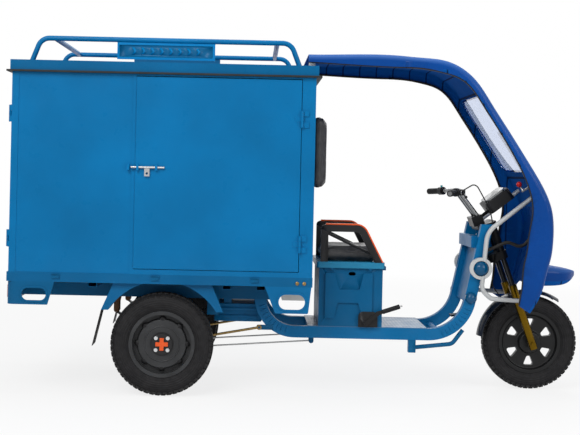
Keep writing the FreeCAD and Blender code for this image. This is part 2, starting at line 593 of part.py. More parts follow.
# Rear axle with motor and differential in one housing, brake backplates and brake levers
ax = d("rear_axle_x")
az = d("rear_tyre_r")
tube_half = d("axle_half")
housing = [
    Part.makeCylinder(d("axle_tube_r"), 2 * tube_half, Vec(ax, -tube_half, az), Vec(0, 1, 0)),
    Part.makeCylinder(d("motor_r"), d("motor_len"), Vec(ax, d("motor_y") - d("motor_len") / 2, az),
                      Vec(0, 1, 0)),
    Part.makeCylinder(d("diff_r"), d("diff_len"),
                      Vec(ax, d("motor_y") - d("motor_len") / 2 - d("diff_len"), az), Vec(0, 1, 0)),
]
lever_y = d("rod_y")
for out in (-1, 1):
    disc_y = out * (d("half_track") + d("rim_half_w") * DISC_SHARE)
    near_y = disc_y - out * (d("drum_w") + d("wheel_gap"))
    housing.append(Part.makeCylinder(d("backplate_r"), d("backplate_t"), Vec(ax, near_y, az),
                                     Vec(0, -out, 0)))
    start = Vec(ax, out * tube_half, az)
    housing.append(Part.makeCylinder(d("axle_tube_r"), abs(near_y) - tube_half, start, Vec(0, out, 0)))
body_shape = housing[0].multiFuse(housing[1:])
# Lugs for the torque rods and the brake rods
for out in (-1, 1):
    lug_w = d("rod_lug_w")
    eye = d("rod_eye_w")
    gap = d("rod_lug_gap")
    ty = out * d("torque_y")
    for k in (-1, 1):
        y_mid = ty + k * (eye / 2 + gap + lug_w / 2)
        lug = wire3(rounded([(ax, az + d("rod_eye_r"), 0), (ax, az - d("rod_eye_r"), 0),
                             (d("torque_rear_x") + d("rod_eye_r"), d("torque_rear_z") - d("rod_eye_r"),
                              d("lug_round")),
                             (d("torque_rear_x") + d("rod_eye_r"), d("torque_rear_z") + d("rod_eye_r"),
                              d("lug_round"))]),
                    FreeCAD.Placement(Vec(0, y_mid + lug_w / 2, 0), FreeCAD.Rotation(Vec(1, 0, 0), 90)))
        body_shape = body_shape.fuse(face_of([lug]).extrude(Vec(0, -lug_w, 0)))
    pin_len = eye + 2 * gap + 2 * lug_w
    pin = Part.makeCylinder(d("rod_pin_r"), pin_len, Vec(d("torque_rear_x"), ty - pin_len / 2,
                                                         d("torque_rear_z")),
                            Vec(0, 1, 0))
    body_shape = body_shape.fuse(pin)
    ry = out * lever_y
    for k in (-1, 1):
        y_mid = ry + k * (eye / 2 + gap + lug_w / 2)
        lug = wire3(rounded([(ax - d("rod_eye_r"), az, 0), (ax + d("rod_eye_r"), az, 0),
                             (d("rod_rear_x") + d("rod_eye_r"), d("rod_rear_z") - d("rod_eye_r"),
                              d("lug_round")),
                             (d("rod_rear_x") - d("rod_eye_r"), d("rod_rear_z") - d("rod_eye_r"),
                              d("lug_round"))]),
                    FreeCAD.Placement(Vec(0, y_mid + lug_w / 2, 0), FreeCAD.Rotation(Vec(1, 0, 0), 90)))
        body_shape = body_shape.fuse(face_of([lug]).extrude(Vec(0, -lug_w, 0)))
    pin = Part.makeCylinder(d("rod_pin_r"), pin_len, Vec(d("rod_rear_x"), ry - pin_len / 2,
                                                         d("rod_rear_z")),
                            Vec(0, 1, 0))
    body_shape = body_shape.fuse(pin)
# Bores for the half shafts, deep enough for them to turn freely
shaft_bore = d("half_shaft_r") + d("shaft_gap")
for out in (-1, 1):
    disc_y = out * (d("half_track") + d("rim_half_w") * DISC_SHARE)
    mouth = Vec(ax, disc_y, az)
    deep = d("drum_w") + d("half_shaft_len") + d("shaft_gap")
    body_shape = body_shape.cut(Part.makeCylinder(shaft_bore, deep, mouth, Vec(0, -out, 0)))
# Spring seats and clips
for out in (-1, 1):
    ly = out * d("leaf_y")
    pad_box = Part.makeBox(2 * d("clip_half"), d("leaf_w"), d("leaf_seat_z") - az,
                           Vec(ax - d("clip_half"), ly - d("leaf_w") / 2, az))
    body_shape = body_shape.fuse(pad_box)
for out in (-1, 1):
    mouth = Vec(ax, out * (d("half_track") + d("rim_half_w") * DISC_SHARE), az)
    deep = d("drum_w") + d("half_shaft_len") + d("shaft_gap")
    body_shape = body_shape.cut(Part.makeCylinder(shaft_bore, deep, mouth, Vec(0, -out, 0)))
node("rear_axle", solid("rear_axle_solid", body_shape.removeSplitter()))


def leaf_stack(out):
    # Three curved leaves, each shorter than the one above it, with rolled eyes on the main leaf
    w = d("leaf_w")
    y0 = out * d("leaf_y") + w / 2
    t = d("leaf_t")
    fx = d("leaf_front_x")
    rx = d("leaf_rear_x")
    ez = d("leaf_eye_z") - d("eye_r")
    mid_z = d("leaf_seat_z") + 2 * t
    down = Vec(0, -w, 0)
    side = FreeCAD.Placement(Vec(0, y0, 0), FreeCAD.Rotation(Vec(1, 0, 0), 90))
    arc = Part.ArcOfCircle(Vec(rx, ez, 0), Vec(ax, mid_z, 0), Vec(fx, ez, 0))
    centre = arc.Center
    radius = arc.Radius
    spread = math.atan2(fx - centre.x, centre.y - ez)
    made = []
    for k in range(3):
        angle = spread - k * d("leaf_step") * 2 / radius
        r_in = radius + (k - 1) * t
        r_out = r_in + t
        lo = -math.pi / 2 - angle
        hi = -math.pi / 2 + angle

        def at(r, a):
            return Vec(centre.x + r * math.cos(a), centre.y + r * math.sin(a), 0)
        middle = -math.pi / 2
        loop = [Part.ArcOfCircle(at(r_in, lo), at(r_in, middle), at(r_in, hi)),
                Part.LineSegment(at(r_in, hi), at(r_out, hi)),
                Part.ArcOfCircle(at(r_out, hi), at(r_out, middle), at(r_out, lo)),
                Part.LineSegment(at(r_out, lo), at(r_in, lo))]
        made.append(face_of([wire3(loop, side)]).extrude(down))
    for x in (fx, rx):
        made.append(Part.makeCylinder(d("eye_r"), w, Vec(x, y0, d("leaf_eye_z")), Vec(0, -1, 0)))
    stack = made[0].multiFuse(made[1:])
    for x in (fx, rx):
        stack = stack.cut(Part.makeCylinder(d("eye_bore_r"), w, Vec(x, y0, d("leaf_eye_z")), Vec(0, -1, 0)))
    base = d("leaf_seat_z")
    keep = Part.makeBox(abs(fx - rx) * 2, w * 2, d("leaf_eye_z"), Vec(rx - abs(fx - rx) / 2, y0 - w * 3 / 2,
                                                                      base))
    return stack.common(keep).removeSplitter()


node("leaf_springs", both("leaf_springs_pair", solid("leaf_right", leaf_stack(-1))))


def link(x0, z0, x1, z1, y, radius, bore0, bore1):
    # A round rod with a bored eye at each end, lying in a plane of constant y
    a = Vec(x0, y, z0)
    b = Vec(x1, y, z1)
    run = b - a
    eye = d("rod_eye_w")
    shape = Part.makeCylinder(radius, run.Length, a, run)
    for spot in (a, b):
        shape = shape.fuse(Part.makeCylinder(d("rod_eye_r"), eye, spot - Vec(0, eye / 2, 0), Vec(0, 1, 0)))
    for spot, bore in ((a, bore0), (b, bore1)):
        shape = shape.cut(Part.makeCylinder(bore, eye * 2, spot - Vec(0, eye, 0), Vec(0, 1, 0)))
    return shape.removeSplitter()


pin_r = d("rod_pin_r")
snug = pin_r + d("shaft_gap")
slack = pin_r + d("rod_eye_slack")
torque = link(d("torque_front_x"), d("torque_z"), d("torque_rear_x"), d("torque_rear_z"), -d("torque_y"),
              d("torque_r"), snug, slack)
node("torque_rods", both("torque_pair", solid("torque_right", torque)))
brake = link(d("rod_front_x"), d("rod_front_z"), d("rod_rear_x"), d("rod_rear_z"), -lever_y,
             d("brake_rod_r"), snug, slack)
node("brake_rods", both("brake_rod_pair", solid("brake_rod_right", brake)))

# Cargo bed: side rails, ladder chassis, floor sheet, rope hooks
CROSS_SHARES = (0.04746, 0.27818, 0.71984, 0.83191, 0.94397)
rail_h = "bed_top_z - bed_low_z"
rail_between = "2 * bed_half_w - 2 * bed_rail_w"
rail = bar("rail_right", ("bed_front_x - bed_rear_x", "bed_rail_w", rail_h), ("bed_rear_x", "-bed_half_w",
                                                                              "bed_low_z"), 0)
rail_rear = bar("rail_rear", ("bed_rail_w", rail_between, rail_h),
                ("bed_rear_x", "bed_rail_w - bed_half_w", "bed_low_z"), 1)
rail_front = bar("rail_front", ("bed_rail_w", rail_between, rail_h),
                 ("bed_front_x - bed_rail_w", "bed_rail_w - bed_half_w", "bed_low_z"), 1)
node("bed_side_rails", group("bed_side_rails_all", [rail, mirrored("rail_left", rail), rail_rear,
                                                    rail_front]))
hooks = []
for k in range(3):
    spot = f"hook_first_x + {k} * hook_pitch - hook_w / 2"
    plate = block(f"hook_plate_{k}", ("hook_w", "hook_t", "hook_h"),
                  (spot, "-bed_half_w - hook_t", "bed_top_z - hook_h - hook_tab"))
    tab = block(f"hook_tab_{k}", ("hook_w", "hook_out", "hook_tab"),
                (spot, "-bed_half_w - hook_out", "bed_top_z - hook_tab - hook_tab"))
    hook = fused(f"hook_{k}", [plate, tab])
    hooks.extend([hook, mirrored(f"hook_left_{k}", hook)])
ladder = []
beam_right = bar("chassis_rail_right",
                 ("chassis_front_x - bed_rear_x - bed_rail_w", "chassis_w", "cross_low_z - chassis_low_z"),
                 ("bed_rear_x + bed_rail_w", "-chassis_half - chassis_w / 2", "chassis_low_z"), 0)
ladder.extend([beam_right, mirrored("chassis_rail_left", beam_right)])
for k, share in enumerate(CROSS_SHARES):
    ladder.append(bar(f"bed_cross_{k}", ("cross_w_x", rail_between, "bed_floor_z - cross_low_z"),
                      (f"bed_rear_x + {share} * (bed_front_x - bed_rear_x) - cross_w_x / 2",
                       "bed_rail_w - bed_half_w",
                       "cross_low_z"), 1))
# Front spring hangers: two plates against the chassis rail and the eye pin between them
pin_gap = d("chassis_w") / 2
for out in (-1, 1):
    cy = out * d("chassis_half")
    ez = d("leaf_eye_z")
    hang = []
    for k in (-1, 1):
        y_low = cy + k * pin_gap if k > 0 else cy - pin_gap - d("hanger_t")
        hang.append(Part.makeBox(d("hanger_w"), d("hanger_t"), d("cross_low_z") - ez + d("eye_r"),
                                 Vec(d("leaf_front_x") - d("hanger_w") / 2, y_low, ez - d("eye_r"))))
    reach = 2 * (pin_gap + d("hanger_t"))
    hang.append(Part.makeCylinder(d("eye_bore_r") - d("clamp_gap"), reach, Vec(d("leaf_front_x"),
                                                                               cy - reach / 2, ez),
                                  Vec(0, 1, 0)))
    ladder.append(solid("spring_hanger_" + str(out + 1), hang[0].multiFuse(hang[1:]).removeSplitter()))
shackles = []
for out in (-1, 1):
    cy = out * d("chassis_half")
    ez = d("leaf_eye_z")
    x = d("leaf_rear_x")
    high = ez + d("shackle_len") + d("shackle_over")
    pieces = []
    for k in (-1, 1):
        y_low = cy + pin_gap if k > 0 else cy - pin_gap - d("shackle_t")
        outline = rect(d("shackle_w") / 2, (high - ez + d("shackle_w")) / 2, d("shackle_w") * ROUND_SHARE,
                       x,
                       (high + ez) / 2)
        flat = wire3(outline, FreeCAD.Placement(Vec(0, y_low, 0), FreeCAD.Rotation(Vec(1, 0, 0), 90)))
        pieces.append(face_of([flat]).extrude(Vec(0, d("shackle_t"), 0)))
    reach = 2 * (pin_gap + d("shackle_t"))
    pieces.append(Part.makeCylinder(d("eye_bore_r") - d("clamp_gap"), reach, Vec(x, cy - reach / 2, ez),
                                    Vec(0, 1, 0)))
    shackles.append(solid("shackle_" + str(out + 1), pieces[0].multiFuse(pieces[1:]).removeSplitter()))
node("bed_chassis", group("bed_chassis_all", ladder + shackles))
node("bed_floor", block("bed_floor_sheet", ("bed_front_x - bed_rear_x - 2 * bed_rail_w",
                                            "2 * bed_half_w - 2 * bed_rail_w",
                                            "bed_floor_t"),
                        ("bed_rear_x + bed_rail_w", "bed_rail_w - bed_half_w", "bed_floor_z")))

# Cargo box: posts, rails and sills, wall sheets, roof, drip edge
post_h = "roof_top_z - roof_sheet - bed_top_z"
top_rail_h = "roof_top_z - roof_sheet - top_rail_low_z"
post_between = "2 * bed_half_w - 2 * post_w"
frame_bars = []
for k, x in enumerate(("box_rear_x", "box_front_x - post_w")):
    post = bar(f"post_{k}", ("post_w", "post_w", post_h), (x, "-bed_half_w", "bed_top_z"), 2)
    frame_bars.extend([post, mirrored(f"post_left_{k}", post)])
    frame_bars.append(bar(f"end_rail_{k}", ("post_w", post_between, top_rail_h),
                          (x, "post_w - bed_half_w", "top_rail_low_z"), 1))
side_rail = bar("top_rail", ("box_front_x - box_rear_x - 2 * post_w", "post_w", top_rail_h),
                ("box_rear_x + post_w", "-bed_half_w", "top_rail_low_z"), 0)
frame_bars.extend([side_rail, mirrored("top_rail_left", side_rail)])
frame_bars.append(bar("mid_post", ("mid_post_w", "post_w", "top_rail_low_z - bed_top_z"),
                      ("mid_post_x", "-bed_half_w", "bed_top_z"), 2))
frame_bars.append(bar("door_sill", ("box_front_x - post_w - mid_post_x - mid_post_w", "post_w",
                                    "sill_top_z - bed_top_z"),
                      ("mid_post_x + mid_post_w", "-bed_half_w", "bed_top_z"), 0))
frame_bars.append(bar("rear_sill", ("post_w", post_between, "rear_door_low_z - rear_door_gap - bed_top_z"),
                      ("box_rear_x", "post_w - bed_half_w", "bed_top_z"), 1))
frame_bars.append(block("hinge_post", ("box_front_x - post_w - door_front_x - hinge_post_gap", "post_w",
                                       "top_rail_low_z - sill_top_z"),
                        ("door_front_x + hinge_post_gap", "-bed_half_w", "sill_top_z")))
node("box_frame", group("box_frame_all", frame_bars))
wall_h = "top_rail_low_z - bed_top_z"
wall_right = block("wall_right", ("mid_post_x - box_rear_x - post_w", "wall_t", wall_h),
                   ("box_rear_x + post_w", "wall_inset - bed_half_w", "bed_top_z"))
wall_left = block("wall_left", ("box_front_x - box_rear_x - 2 * post_w", "wall_t", wall_h),
                  ("box_rear_x + post_w", "bed_half_w - wall_inset - wall_t", "bed_top_z"))
wall_front = block("wall_front", ("wall_t", "2 * bed_half_w - 2 * post_w", wall_h),
                   ("box_front_x - wall_t", "post_w - bed_half_w", "bed_top_z"))
node("box_walls", group("box_walls_all", [wall_right, wall_left, wall_front]))
pan = block("roof_pan", ("roof_front_x - roof_rear_x", "2 * roof_half_w", "roof_top_z - roof_low_z"),
            ("roof_rear_x", "-roof_half_w", "roof_low_z"))
pan_hollow = block("roof_hollow", ("roof_front_x - roof_rear_x - 2 * roof_sheet",
                                   "2 * roof_half_w - 2 * roof_sheet",
                                   "roof_top_z - roof_low_z - roof_sheet"),
                   ("roof_rear_x + roof_sheet", "roof_sheet - roof_half_w", "roof_low_z"))
node("box_roof", less("box_roof_cut", pan, [pan_hollow]))
gutter_out = block("gutter_outer", ("roof_front_x - roof_rear_x + 2 * gutter_end",
                                    "2 * roof_half_w + 2 * gutter_out", "gutter_h"),
                   ("roof_rear_x - gutter_end", "-roof_half_w - gutter_out", "gutter_low_z"))
gutter_in = block("gutter_inner", ("box_front_x - box_rear_x", "2 * bed_half_w", "gutter_h + gutter_h"),
                  ("box_rear_x", "-bed_half_w", "gutter_low_z - gutter_h / 2"))
gutter = less("gutter_cut", gutter_out, [gutter_in])


# Doors: a skin with a folded frame round it, hinge leaves and knuckles
def knuckle(x, y, low, high, bore):
    shape = Part.makeCylinder(d("hinge_r"), high - low, Vec(x, y, low))
    if bore:
        shape = shape.cut(Part.makeCylinder(d("hinge_pin_r") + d("hinge_bore_gap"), high - low,
                                            Vec(x, y, low)))
    return shape


def span(low, a, b):
    # Start and end of one third of a hinge, a little apart from its neighbours
    third = d("hinge_h") / 3
    gap = d("knuckle_gap") / 2
    return low + a * third + (gap if a else 0), low + b * third - (gap if b < 3 else 0)


side_x = d("hinge_x")
side_y = d("hinge_y")
leaf_w = d("hinge_leaf_w")
door_out = -d("bed_half_w") - d("door_proud")
skin = Part.makeBox(d("door_front_x") - d("door_rear_x"), d("door_t"), d("door_top_z") - d("door_low_z"),
                    Vec(d("door_rear_x"), door_out, d("door_low_z")))
edge = d("door_frame")
bay = (d("door_front_x") - d("door_rear_x") - 2 * edge - d("door_rib_w")) / 2
for k in range(2):
    x0 = d("door_rear_x") + edge + k * (bay + d("door_rib_w"))
    skin = skin.cut(Part.makeBox(bay, d("door_t"), d("door_top_z") - d("door_low_z") - 2 * edge,
                                 Vec(x0, door_out + d("door_skin"), d("door_low_z") + edge)))
pins = []
for low in (d("hinge_low_z"), d("hinge_high_z") - d("hinge_h")):
    a, b = span(low, 1, 2)
    plate = Part.makeBox(leaf_w, d("hinge_leaf_t"), b - a, Vec(side_x - leaf_w,
                                                               door_out - d("hinge_leaf_t"), a))
    eye = knuckle(side_x, side_y, a, b, False)
    skin = skin.fuse(plate).fuse(eye)
    skin = skin.cut(Part.makeCylinder(d("hinge_pin_r") + d("hinge_bore_gap"), b - a, Vec(side_x, side_y, a)))
    fixed = Part.makeCylinder(d("hinge_pin_r"), d("hinge_h"), Vec(side_x, side_y, low))
    for a, b in (span(low, 0, 1), span(low, 2, 3)):
        fixed = fixed.fuse(knuckle(side_x, side_y, a, b, False))
        leaf_at = Vec(side_x, -d("bed_half_w") - d("box_leaf_t"), a)
        fixed = fixed.fuse(Part.makeBox(leaf_w, d("box_leaf_t"), b - a, leaf_at))
    pins.append(solid("side_hinge_" + str(len(pins)), fixed.removeSplitter()))
# Shares of a bolt: its two staples on the side and the rear door, its handle, the hole in the handle
SIDE_STAPLE_SHARES = (0.16, 0.72)
REAR_STAPLE_SHARES = (0.12, 0.75)
GRIP_SHARE = 0.48
HANDLE_SHARE = 0.68
# Staples that carry the bolt on the door
bolt_y = door_out - d("bolt_stand")
bolt_bore = d("bolt_r") + d("bolt_gap")


def staple(x, face_y, depth_y):
    shape = Part.makeBox(d("staple_w"), face_y - depth_y, d("staple_h"), Vec(x, depth_y,
                                                                             d("bolt_z") - d("staple_h") / 2))
    return shape.cut(Part.makeCylinder(bolt_bore, d("staple_w"), Vec(x, bolt_y, d("bolt_z")), Vec(1, 0, 0)))


def keeper(x, face_y, depth_y):
    # A loop on the frame with a square hole, which takes the end of the bolt
    shape = Part.makeBox(d("staple_w"), face_y - depth_y, d("staple_h"), Vec(x, depth_y,
                                                                             d("bolt_z") - d("staple_h") / 2))
    return shape.cut(Part.makeBox(d("staple_w"), 2 * bolt_bore, 2 * bolt_bore,
                                  Vec(x, bolt_y - bolt_bore, d("bolt_z") - bolt_bore)))


staple_out = bolt_y - bolt_bore - d("bolt_gap")
for share in SIDE_STAPLE_SHARES:
    skin = skin.fuse(staple(d("bolt_x0") + d("bolt_len") * share, door_out, staple_out))
node("side_door", solid("side_door_solid", skin.removeSplitter()))
keepers = [solid("side_keeper", keeper(d("keeper_x") - d("staple_w") / 2, d("wall_inset") - d("bed_half_w"),
                                       staple_out))]


def slide_bolt(start, along):
    # A round bolt with a flat handle below it, pierced for a padlock
    shape = Part.makeCylinder(d("bolt_r"), d("bolt_len"), start, along)
    grip = start + along * (d("bolt_len") * GRIP_SHARE)
    wide = d("handle_w")
    thick = d("handle_t")
    tall = d("handle_h")
    if along.x:
        flag = Part.makeBox(wide, thick, tall, grip + Vec(-wide / 2, -thick / 2, -tall))
        hole = Part.makeCylinder(d("handle_hole_r"), thick * 2, grip + Vec(0, -thick, -tall * HANDLE_SHARE),
                                 Vec(0, 1, 0))
    else:
        flag = Part.makeBox(thick, wide, tall, grip + Vec(-thick / 2, -wide / 2, -tall))
        hole = Part.makeCylinder(d("handle_hole_r"), thick * 2, grip + Vec(-thick, 0, -tall * HANDLE_SHARE),
                                 Vec(1, 0, 0))
    return shape.fuse(flag).cut(hole).removeSplitter()


node("side_door_bolt",
     solid("side_bolt_solid", slide_bolt(Vec(d("bolt_x0"), bolt_y, d("bolt_z")), Vec(1, 0, 0))))

# Rear doors
rear_out = d("box_rear_x") - d("door_proud")
rear_ax = d("rear_hinge_x")
rear_bolt_x = rear_out - d("bolt_stand")
rear_staple = rear_bolt_x - bolt_bore - d("bolt_gap")
tip_y = -d("rear_tip_gap")


def rear_staple_box(y, door_x):
    shape = Part.makeBox(door_x - rear_staple, d("staple_w"), d("staple_h"),
                         Vec(rear_staple, y, d("rear_bolt_z") - d("staple_h") / 2))
    return shape.cut(Part.makeBox(2 * bolt_bore, d("staple_w"), 2 * bolt_bore,
                                  Vec(rear_bolt_x - bolt_bore, y, d("rear_bolt_z") - bolt_bore)))


for side, out in (("right", -1), ("left", 1)):
    wide = d("rear_door_half") - d("rear_door_gap") / 2
    y_low = -d("rear_door_half") if out < 0 else d("rear_door_gap") / 2
    low = d("rear_door_low_z")
    high = d("door_top_z")
    leaf = Part.makeBox(d("door_t"), wide, high - low, Vec(rear_out, y_low, low))
    leaf = leaf.cut(Part.makeBox(d("door_t"), wide - 2 * edge, high - low - 2 * edge,
                                 Vec(rear_out + d("door_skin"), y_low + edge, low + edge)))
    axis_y = out * d("rear_hinge_y")
    for base_z in (d("hinge_low_z"), d("hinge_high_z") - d("hinge_h")):
        a, b = span(base_z, 1, 2)
        y_plate = axis_y if out < 0 else axis_y - leaf_w
        plate = Part.makeBox(d("hinge_leaf_t"), leaf_w, b - a, Vec(rear_out - d("hinge_leaf_t"), y_plate,
                                                                   a))
        leaf = leaf.fuse(plate).fuse(knuckle(rear_ax, axis_y, a, b, False))
        leaf = leaf.cut(Part.makeCylinder(d("hinge_pin_r") + d("hinge_bore_gap"), b - a,
                                          Vec(rear_ax, axis_y, a)))
        fixed = Part.makeCylinder(d("hinge_pin_r"), d("hinge_h"), Vec(rear_ax, axis_y, base_z))
        reach = d("bed_half_w") - d("rear_hinge_y")
        for a, b in (span(base_z, 0, 1), span(base_z, 2, 3)):
            y_fix = -d("bed_half_w") if out < 0 else axis_y
            fixed = fixed.fuse(knuckle(rear_ax, axis_y, a, b, False))
            fixed = fixed.fuse(Part.makeBox(d("box_leaf_t"), reach, b - a,
                                            Vec(d("box_rear_x") - d("box_leaf_t"), y_fix, a)))
        pins.append(solid("rear_hinge_" + str(len(pins)), fixed.removeSplitter()))
    if out < 0:
        for share in REAR_STAPLE_SHARES:
            leaf = leaf.fuse(rear_staple_box(tip_y - d("bolt_len") * share - d("staple_w"), rear_out))
    else:
        leaf = leaf.fuse(rear_staple_box(d("rear_keeper_y"), rear_out))
    node("rear_door_" + side, solid("rear_door_" + side + "_solid", leaf.removeSplitter()))
node("rear_door_bolt",
     solid("rear_bolt_solid", slide_bolt(Vec(rear_bolt_x, tip_y, d("rear_bolt_z")), Vec(0, -1, 0))))
node("door_hinges", group("door_hinges_all", pins + keepers))

# Roof rack: two bent side hoops, cross tubes and a pressed plate in each side
doc.recompute()
rack_pieces = []
for out in (-1, 1):
    y = out * d("rack_y")
    lean = d("rack_lean")
    top = d("rack_z")
    low = d("roof_top_z")
    sink = d("rack_sink")
    slip = sink * lean / (top - low)
    hoop = tube([(d("rack_rear_x") - slip, y, low - sink), (d("rack_rear_x") + lean, y, top,
                                                            d("rack_bend")),
                 (d("rack_front_x") - lean, y, top, d("rack_bend")), (d("rack_front_x") + slip, y,
                                                                      low - sink)],
                d("rack_tube_r"))
    hoop = hoop.cut(NODES["box_roof"].Shape).Solids
    rack_pieces.append(solid("rack_hoop_" + str(out + 1), max(hoop, key=lambda s: s.Volume)))
    face_y = y - d("plate_t") / 2
    plate = Part.makeBox(d("plate_x1") - d("plate_x0"), d("plate_t"),
                         top - d("rack_tube_r") - d("plate_low_z"),
                         Vec(d("plate_x0"), face_y, d("plate_low_z")))
    border = d("plate_border")
    deep = d("plate_depth")
    well_y = face_y if out < 0 else face_y + d("plate_t") - deep
    tall = top - d("rack_tube_r") - d("plate_low_z") - 2 * border
    plate = plate.cut(Part.makeBox(d("plate_x1") - d("plate_x0") - 2 * border, deep, tall,
                                   Vec(d("plate_x0") + border, well_y, d("plate_low_z") + border)))
    mid_z = d("plate_low_z") + border + tall / 2
    first = (d("plate_x0") + d("plate_x1")) / 2 - d("chevron_pitch") * (d("chevron_count") - 1) / 2
    arm = d("chevron_w")
    rise = d("chevron_h") / 2
    for k in range(int(d("chevron_count"))):
        x = first + k * d("chevron_pitch")
        outline = rounded([(x - arm, mid_z + rise, 0), (x, mid_z + rise, 0), (x + arm, mid_z, 0),
                           (x, mid_z - rise, 0),
                           (x - arm, mid_z - rise, 0), (x, mid_z, 0)])
        flat = wire3(outline, FreeCAD.Placement(Vec(0, well_y, 0), FreeCAD.Rotation(Vec(1, 0, 0), 90)))
        plate = plate.fuse(face_of([flat]).extrude(Vec(0, deep, 0)))
    rack_pieces.append(solid("rack_plate_" + str(out + 1), plate.removeSplitter()))
inner = d("rack_y") - d("rack_tube_r")
for k, x in enumerate((d("rack_rear_x") + d("rack_lean") + d("rack_cross_in"),
                       d("rack_front_x") - d("rack_lean") - d("rack_cross_in"))):
    cross = Part.makeCylinder(d("rack_tube_r"), 2 * d("rack_y"), Vec(x, -d("rack_y"), d("rack_z")),
                              Vec(0, 1, 0))
    cross = cross.cut(rack_pieces[0].Shape).cut(rack_pieces[2].Shape)
    cross = max(cross.Solids, key=lambda s: s.Volume)
    rack_pieces.append(solid(f"rack_cross_{k}", cross))
node("roof_rack", group("roof_rack_all", rack_pieces))


# Flat plate drawn in side view and set at one y, thickness towards +y
def side_plate(pieces, y, thick, holes=()):
    at = FreeCAD.Placement(Vec(0, y, 0), FreeCAD.Rotation(Vec(1, 0, 0), 90))
    shape = face_of([wire3(pieces, at)]).extrude(Vec(0, thick, 0))
    for hole in holes:
        shape = shape.cut(face_of([wire3(hole, at)]).extrude(Vec(0, thick, 0)))
    return shape


def flip(shape):
    return shape.mirror(Vec(0, 0, 0), SYMMETRY_PLANE)


def pair(name, shape):
    return [solid(name + "_right", shape), solid(name + "_left", flip(shape))]


# Rear bumper: one folded band with an oblong opening in each wing
half = d("bed_half_w")
t = d("bumper_t")
tail_x = d("bed_rear_x") + d("bumper_gap")
wing_x = tail_x + d("bumper_len")
band_outer = [(wing_x, -half, 0), (tail_x, -half, d("bumper_round")), (tail_x, half, d("bumper_round")),
              (wing_x, half, 0)]
band_inner = [(wing_x, half - t, 0), (tail_x + t, half - t, d("bumper_round") - t),
              (tail_x + t, t - half, d("bumper_round") - t), (wing_x, t - half, 0)]
flat = wire3(rounded(band_outer + band_inner), FreeCAD.Placement(Vec(0, 0, d("bumper_low_z")),
                                                                 FreeCAD.Rotation()))
band = face_of([flat]).extrude(Vec(0, 0, d("bed_low_z") - d("bumper_low_z")))
slant = d("bumper_slant")
wedge = rounded([(wing_x - slant, d("bumper_low_z"), 0), (wing_x + slant, d("bumper_low_z"), 0),
                 (wing_x + slant, d("bed_low_z"), 0), (wing_x, d("bed_low_z"), 0)])
band = band.cut(side_plate(wedge, -half - t, 2 * half + 2 * t))
slot = stadium(d("slot_x"), d("slot_z"), d("slot_len"), d("slot_h"))
lip_out = stadium(d("slot_x"), d("slot_z"), d("slot_len") + 2 * d("lip_w"), d("slot_h") + 2 * d("lip_w"))
for y in (-half - d("lip_t") + t, half - t):
    band = band.fuse(side_plate(lip_out, y, d("lip_t")))
band = band.cut(side_plate(slot, -half - d("lip_t"), 2 * half + 2 * d("lip_t")))
node("rear_bumper", solid("rear_bumper_solid", band))
lamp = block("tail_lamp", ("lamp_t", "lamp_w", "lamp_h"),
             ("bed_rear_x + bumper_gap - lamp_t", "-lamp_y - lamp_w / 2", "lamp_z - lamp_h / 2"))
node("tail_lamps", both("tail_lamps_all", lamp))

# Plates below the front end of the bed, each with an oblong opening
outline = rounded([(d("side_plate_x0"), d("side_plate_top_z"), 0), (d("side_plate_low_x0"),
                                                                    d("side_plate_low_z"), d("lip_w")),
                   (d("side_plate_low_x1"), d("side_plate_low_z"), d("lip_w")),
                   (d("side_plate_x1"), d("side_plate_top_z"), 0)])
slot = stadium(d("side_slot_x"), d("side_slot_z"), d("side_slot_len"), d("side_slot_h"))
lip_out = stadium(d("side_slot_x"), d("side_slot_z"), d("side_slot_len") + 2 * d("lip_w"),
                  d("side_slot_h") + 2 * d("lip_w"))
plate = side_plate(outline, -half, t)
plate = plate.fuse(side_plate(lip_out, -half - d("lip_t") + t, d("lip_t")))
plate = plate.cut(side_plate(slot, -half - d("lip_t"), 2 * d("lip_t")))
node("side_plates", group("side_plates_all", pair("side_plate", plate)))

# Rear mudguards: a gusset plate and a curved sheet before and behind each wheel
ax = d("rear_axle_x")
az = d("rear_tyre_r")
g_t = d("guard_t")
low_z = d("guard_low_z")
top_z = d("bed_low_z")


def guard_arc(radius):
    x_low = math.sqrt(radius ** 2 - (low_z - az) ** 2)
    x_top = math.sqrt(radius ** 2 - (top_z - az) ** 2)
    mid = (math.atan2(low_z - az, x_low) + math.atan2(top_z - az, x_top)) / 2
    return (Vec(ax - x_low, low_z, 0), Vec(ax - radius * math.cos(mid), az + radius * math.sin(mid), 0),
            Vec(ax - x_top, top_z, 0))


inner = guard_arc(d("guard_r"))
outer = guard_arc(d("guard_r") + g_t)
foot = Vec(ax - d("guard_foot_x"), low_z, 0)
head = Vec(ax - d("guard_head_x"), top_z, 0)
gusset = [Part.ArcOfCircle(*inner), Part.LineSegment(inner[2], head), Part.LineSegment(head, foot),
          Part.LineSegment(foot, inner[0])]
strip = [Part.ArcOfCircle(*inner), Part.LineSegment(inner[2], outer[2]),
         Part.ArcOfCircle(outer[2], outer[1], outer[0]),
         Part.LineSegment(outer[0], inner[0])]
guard = side_plate(gusset, -d("guard_y_out"), g_t)
guard = guard.fuse(side_plate(strip, -d("guard_y_out"),
                              d("guard_y_out") - d("guard_y_in"))).removeSplitter()
ahead = guard.mirror(Vec(ax, 0, 0), Vec(1, 0, 0))
guards = pair("guard_rear", guard) + pair("guard_front", ahead)
flap_x = ax - d("guard_foot_x")
flap = rounded([(flap_x, low_z, 0), (flap_x + d("flap_t"), low_z, 0),
                (flap_x + d("flap_t") - d("flap_swing"), low_z - d("flap_h"), 0),
                (flap_x - d("flap_swing"), low_z - d("flap_h"), 0)])
guards.extend(pair("mud_flap", side_plate(flap, -d("guard_y_out"), d("flap_w"))))
node("rear_mudguards", group("rear_mudguards_all", guards))

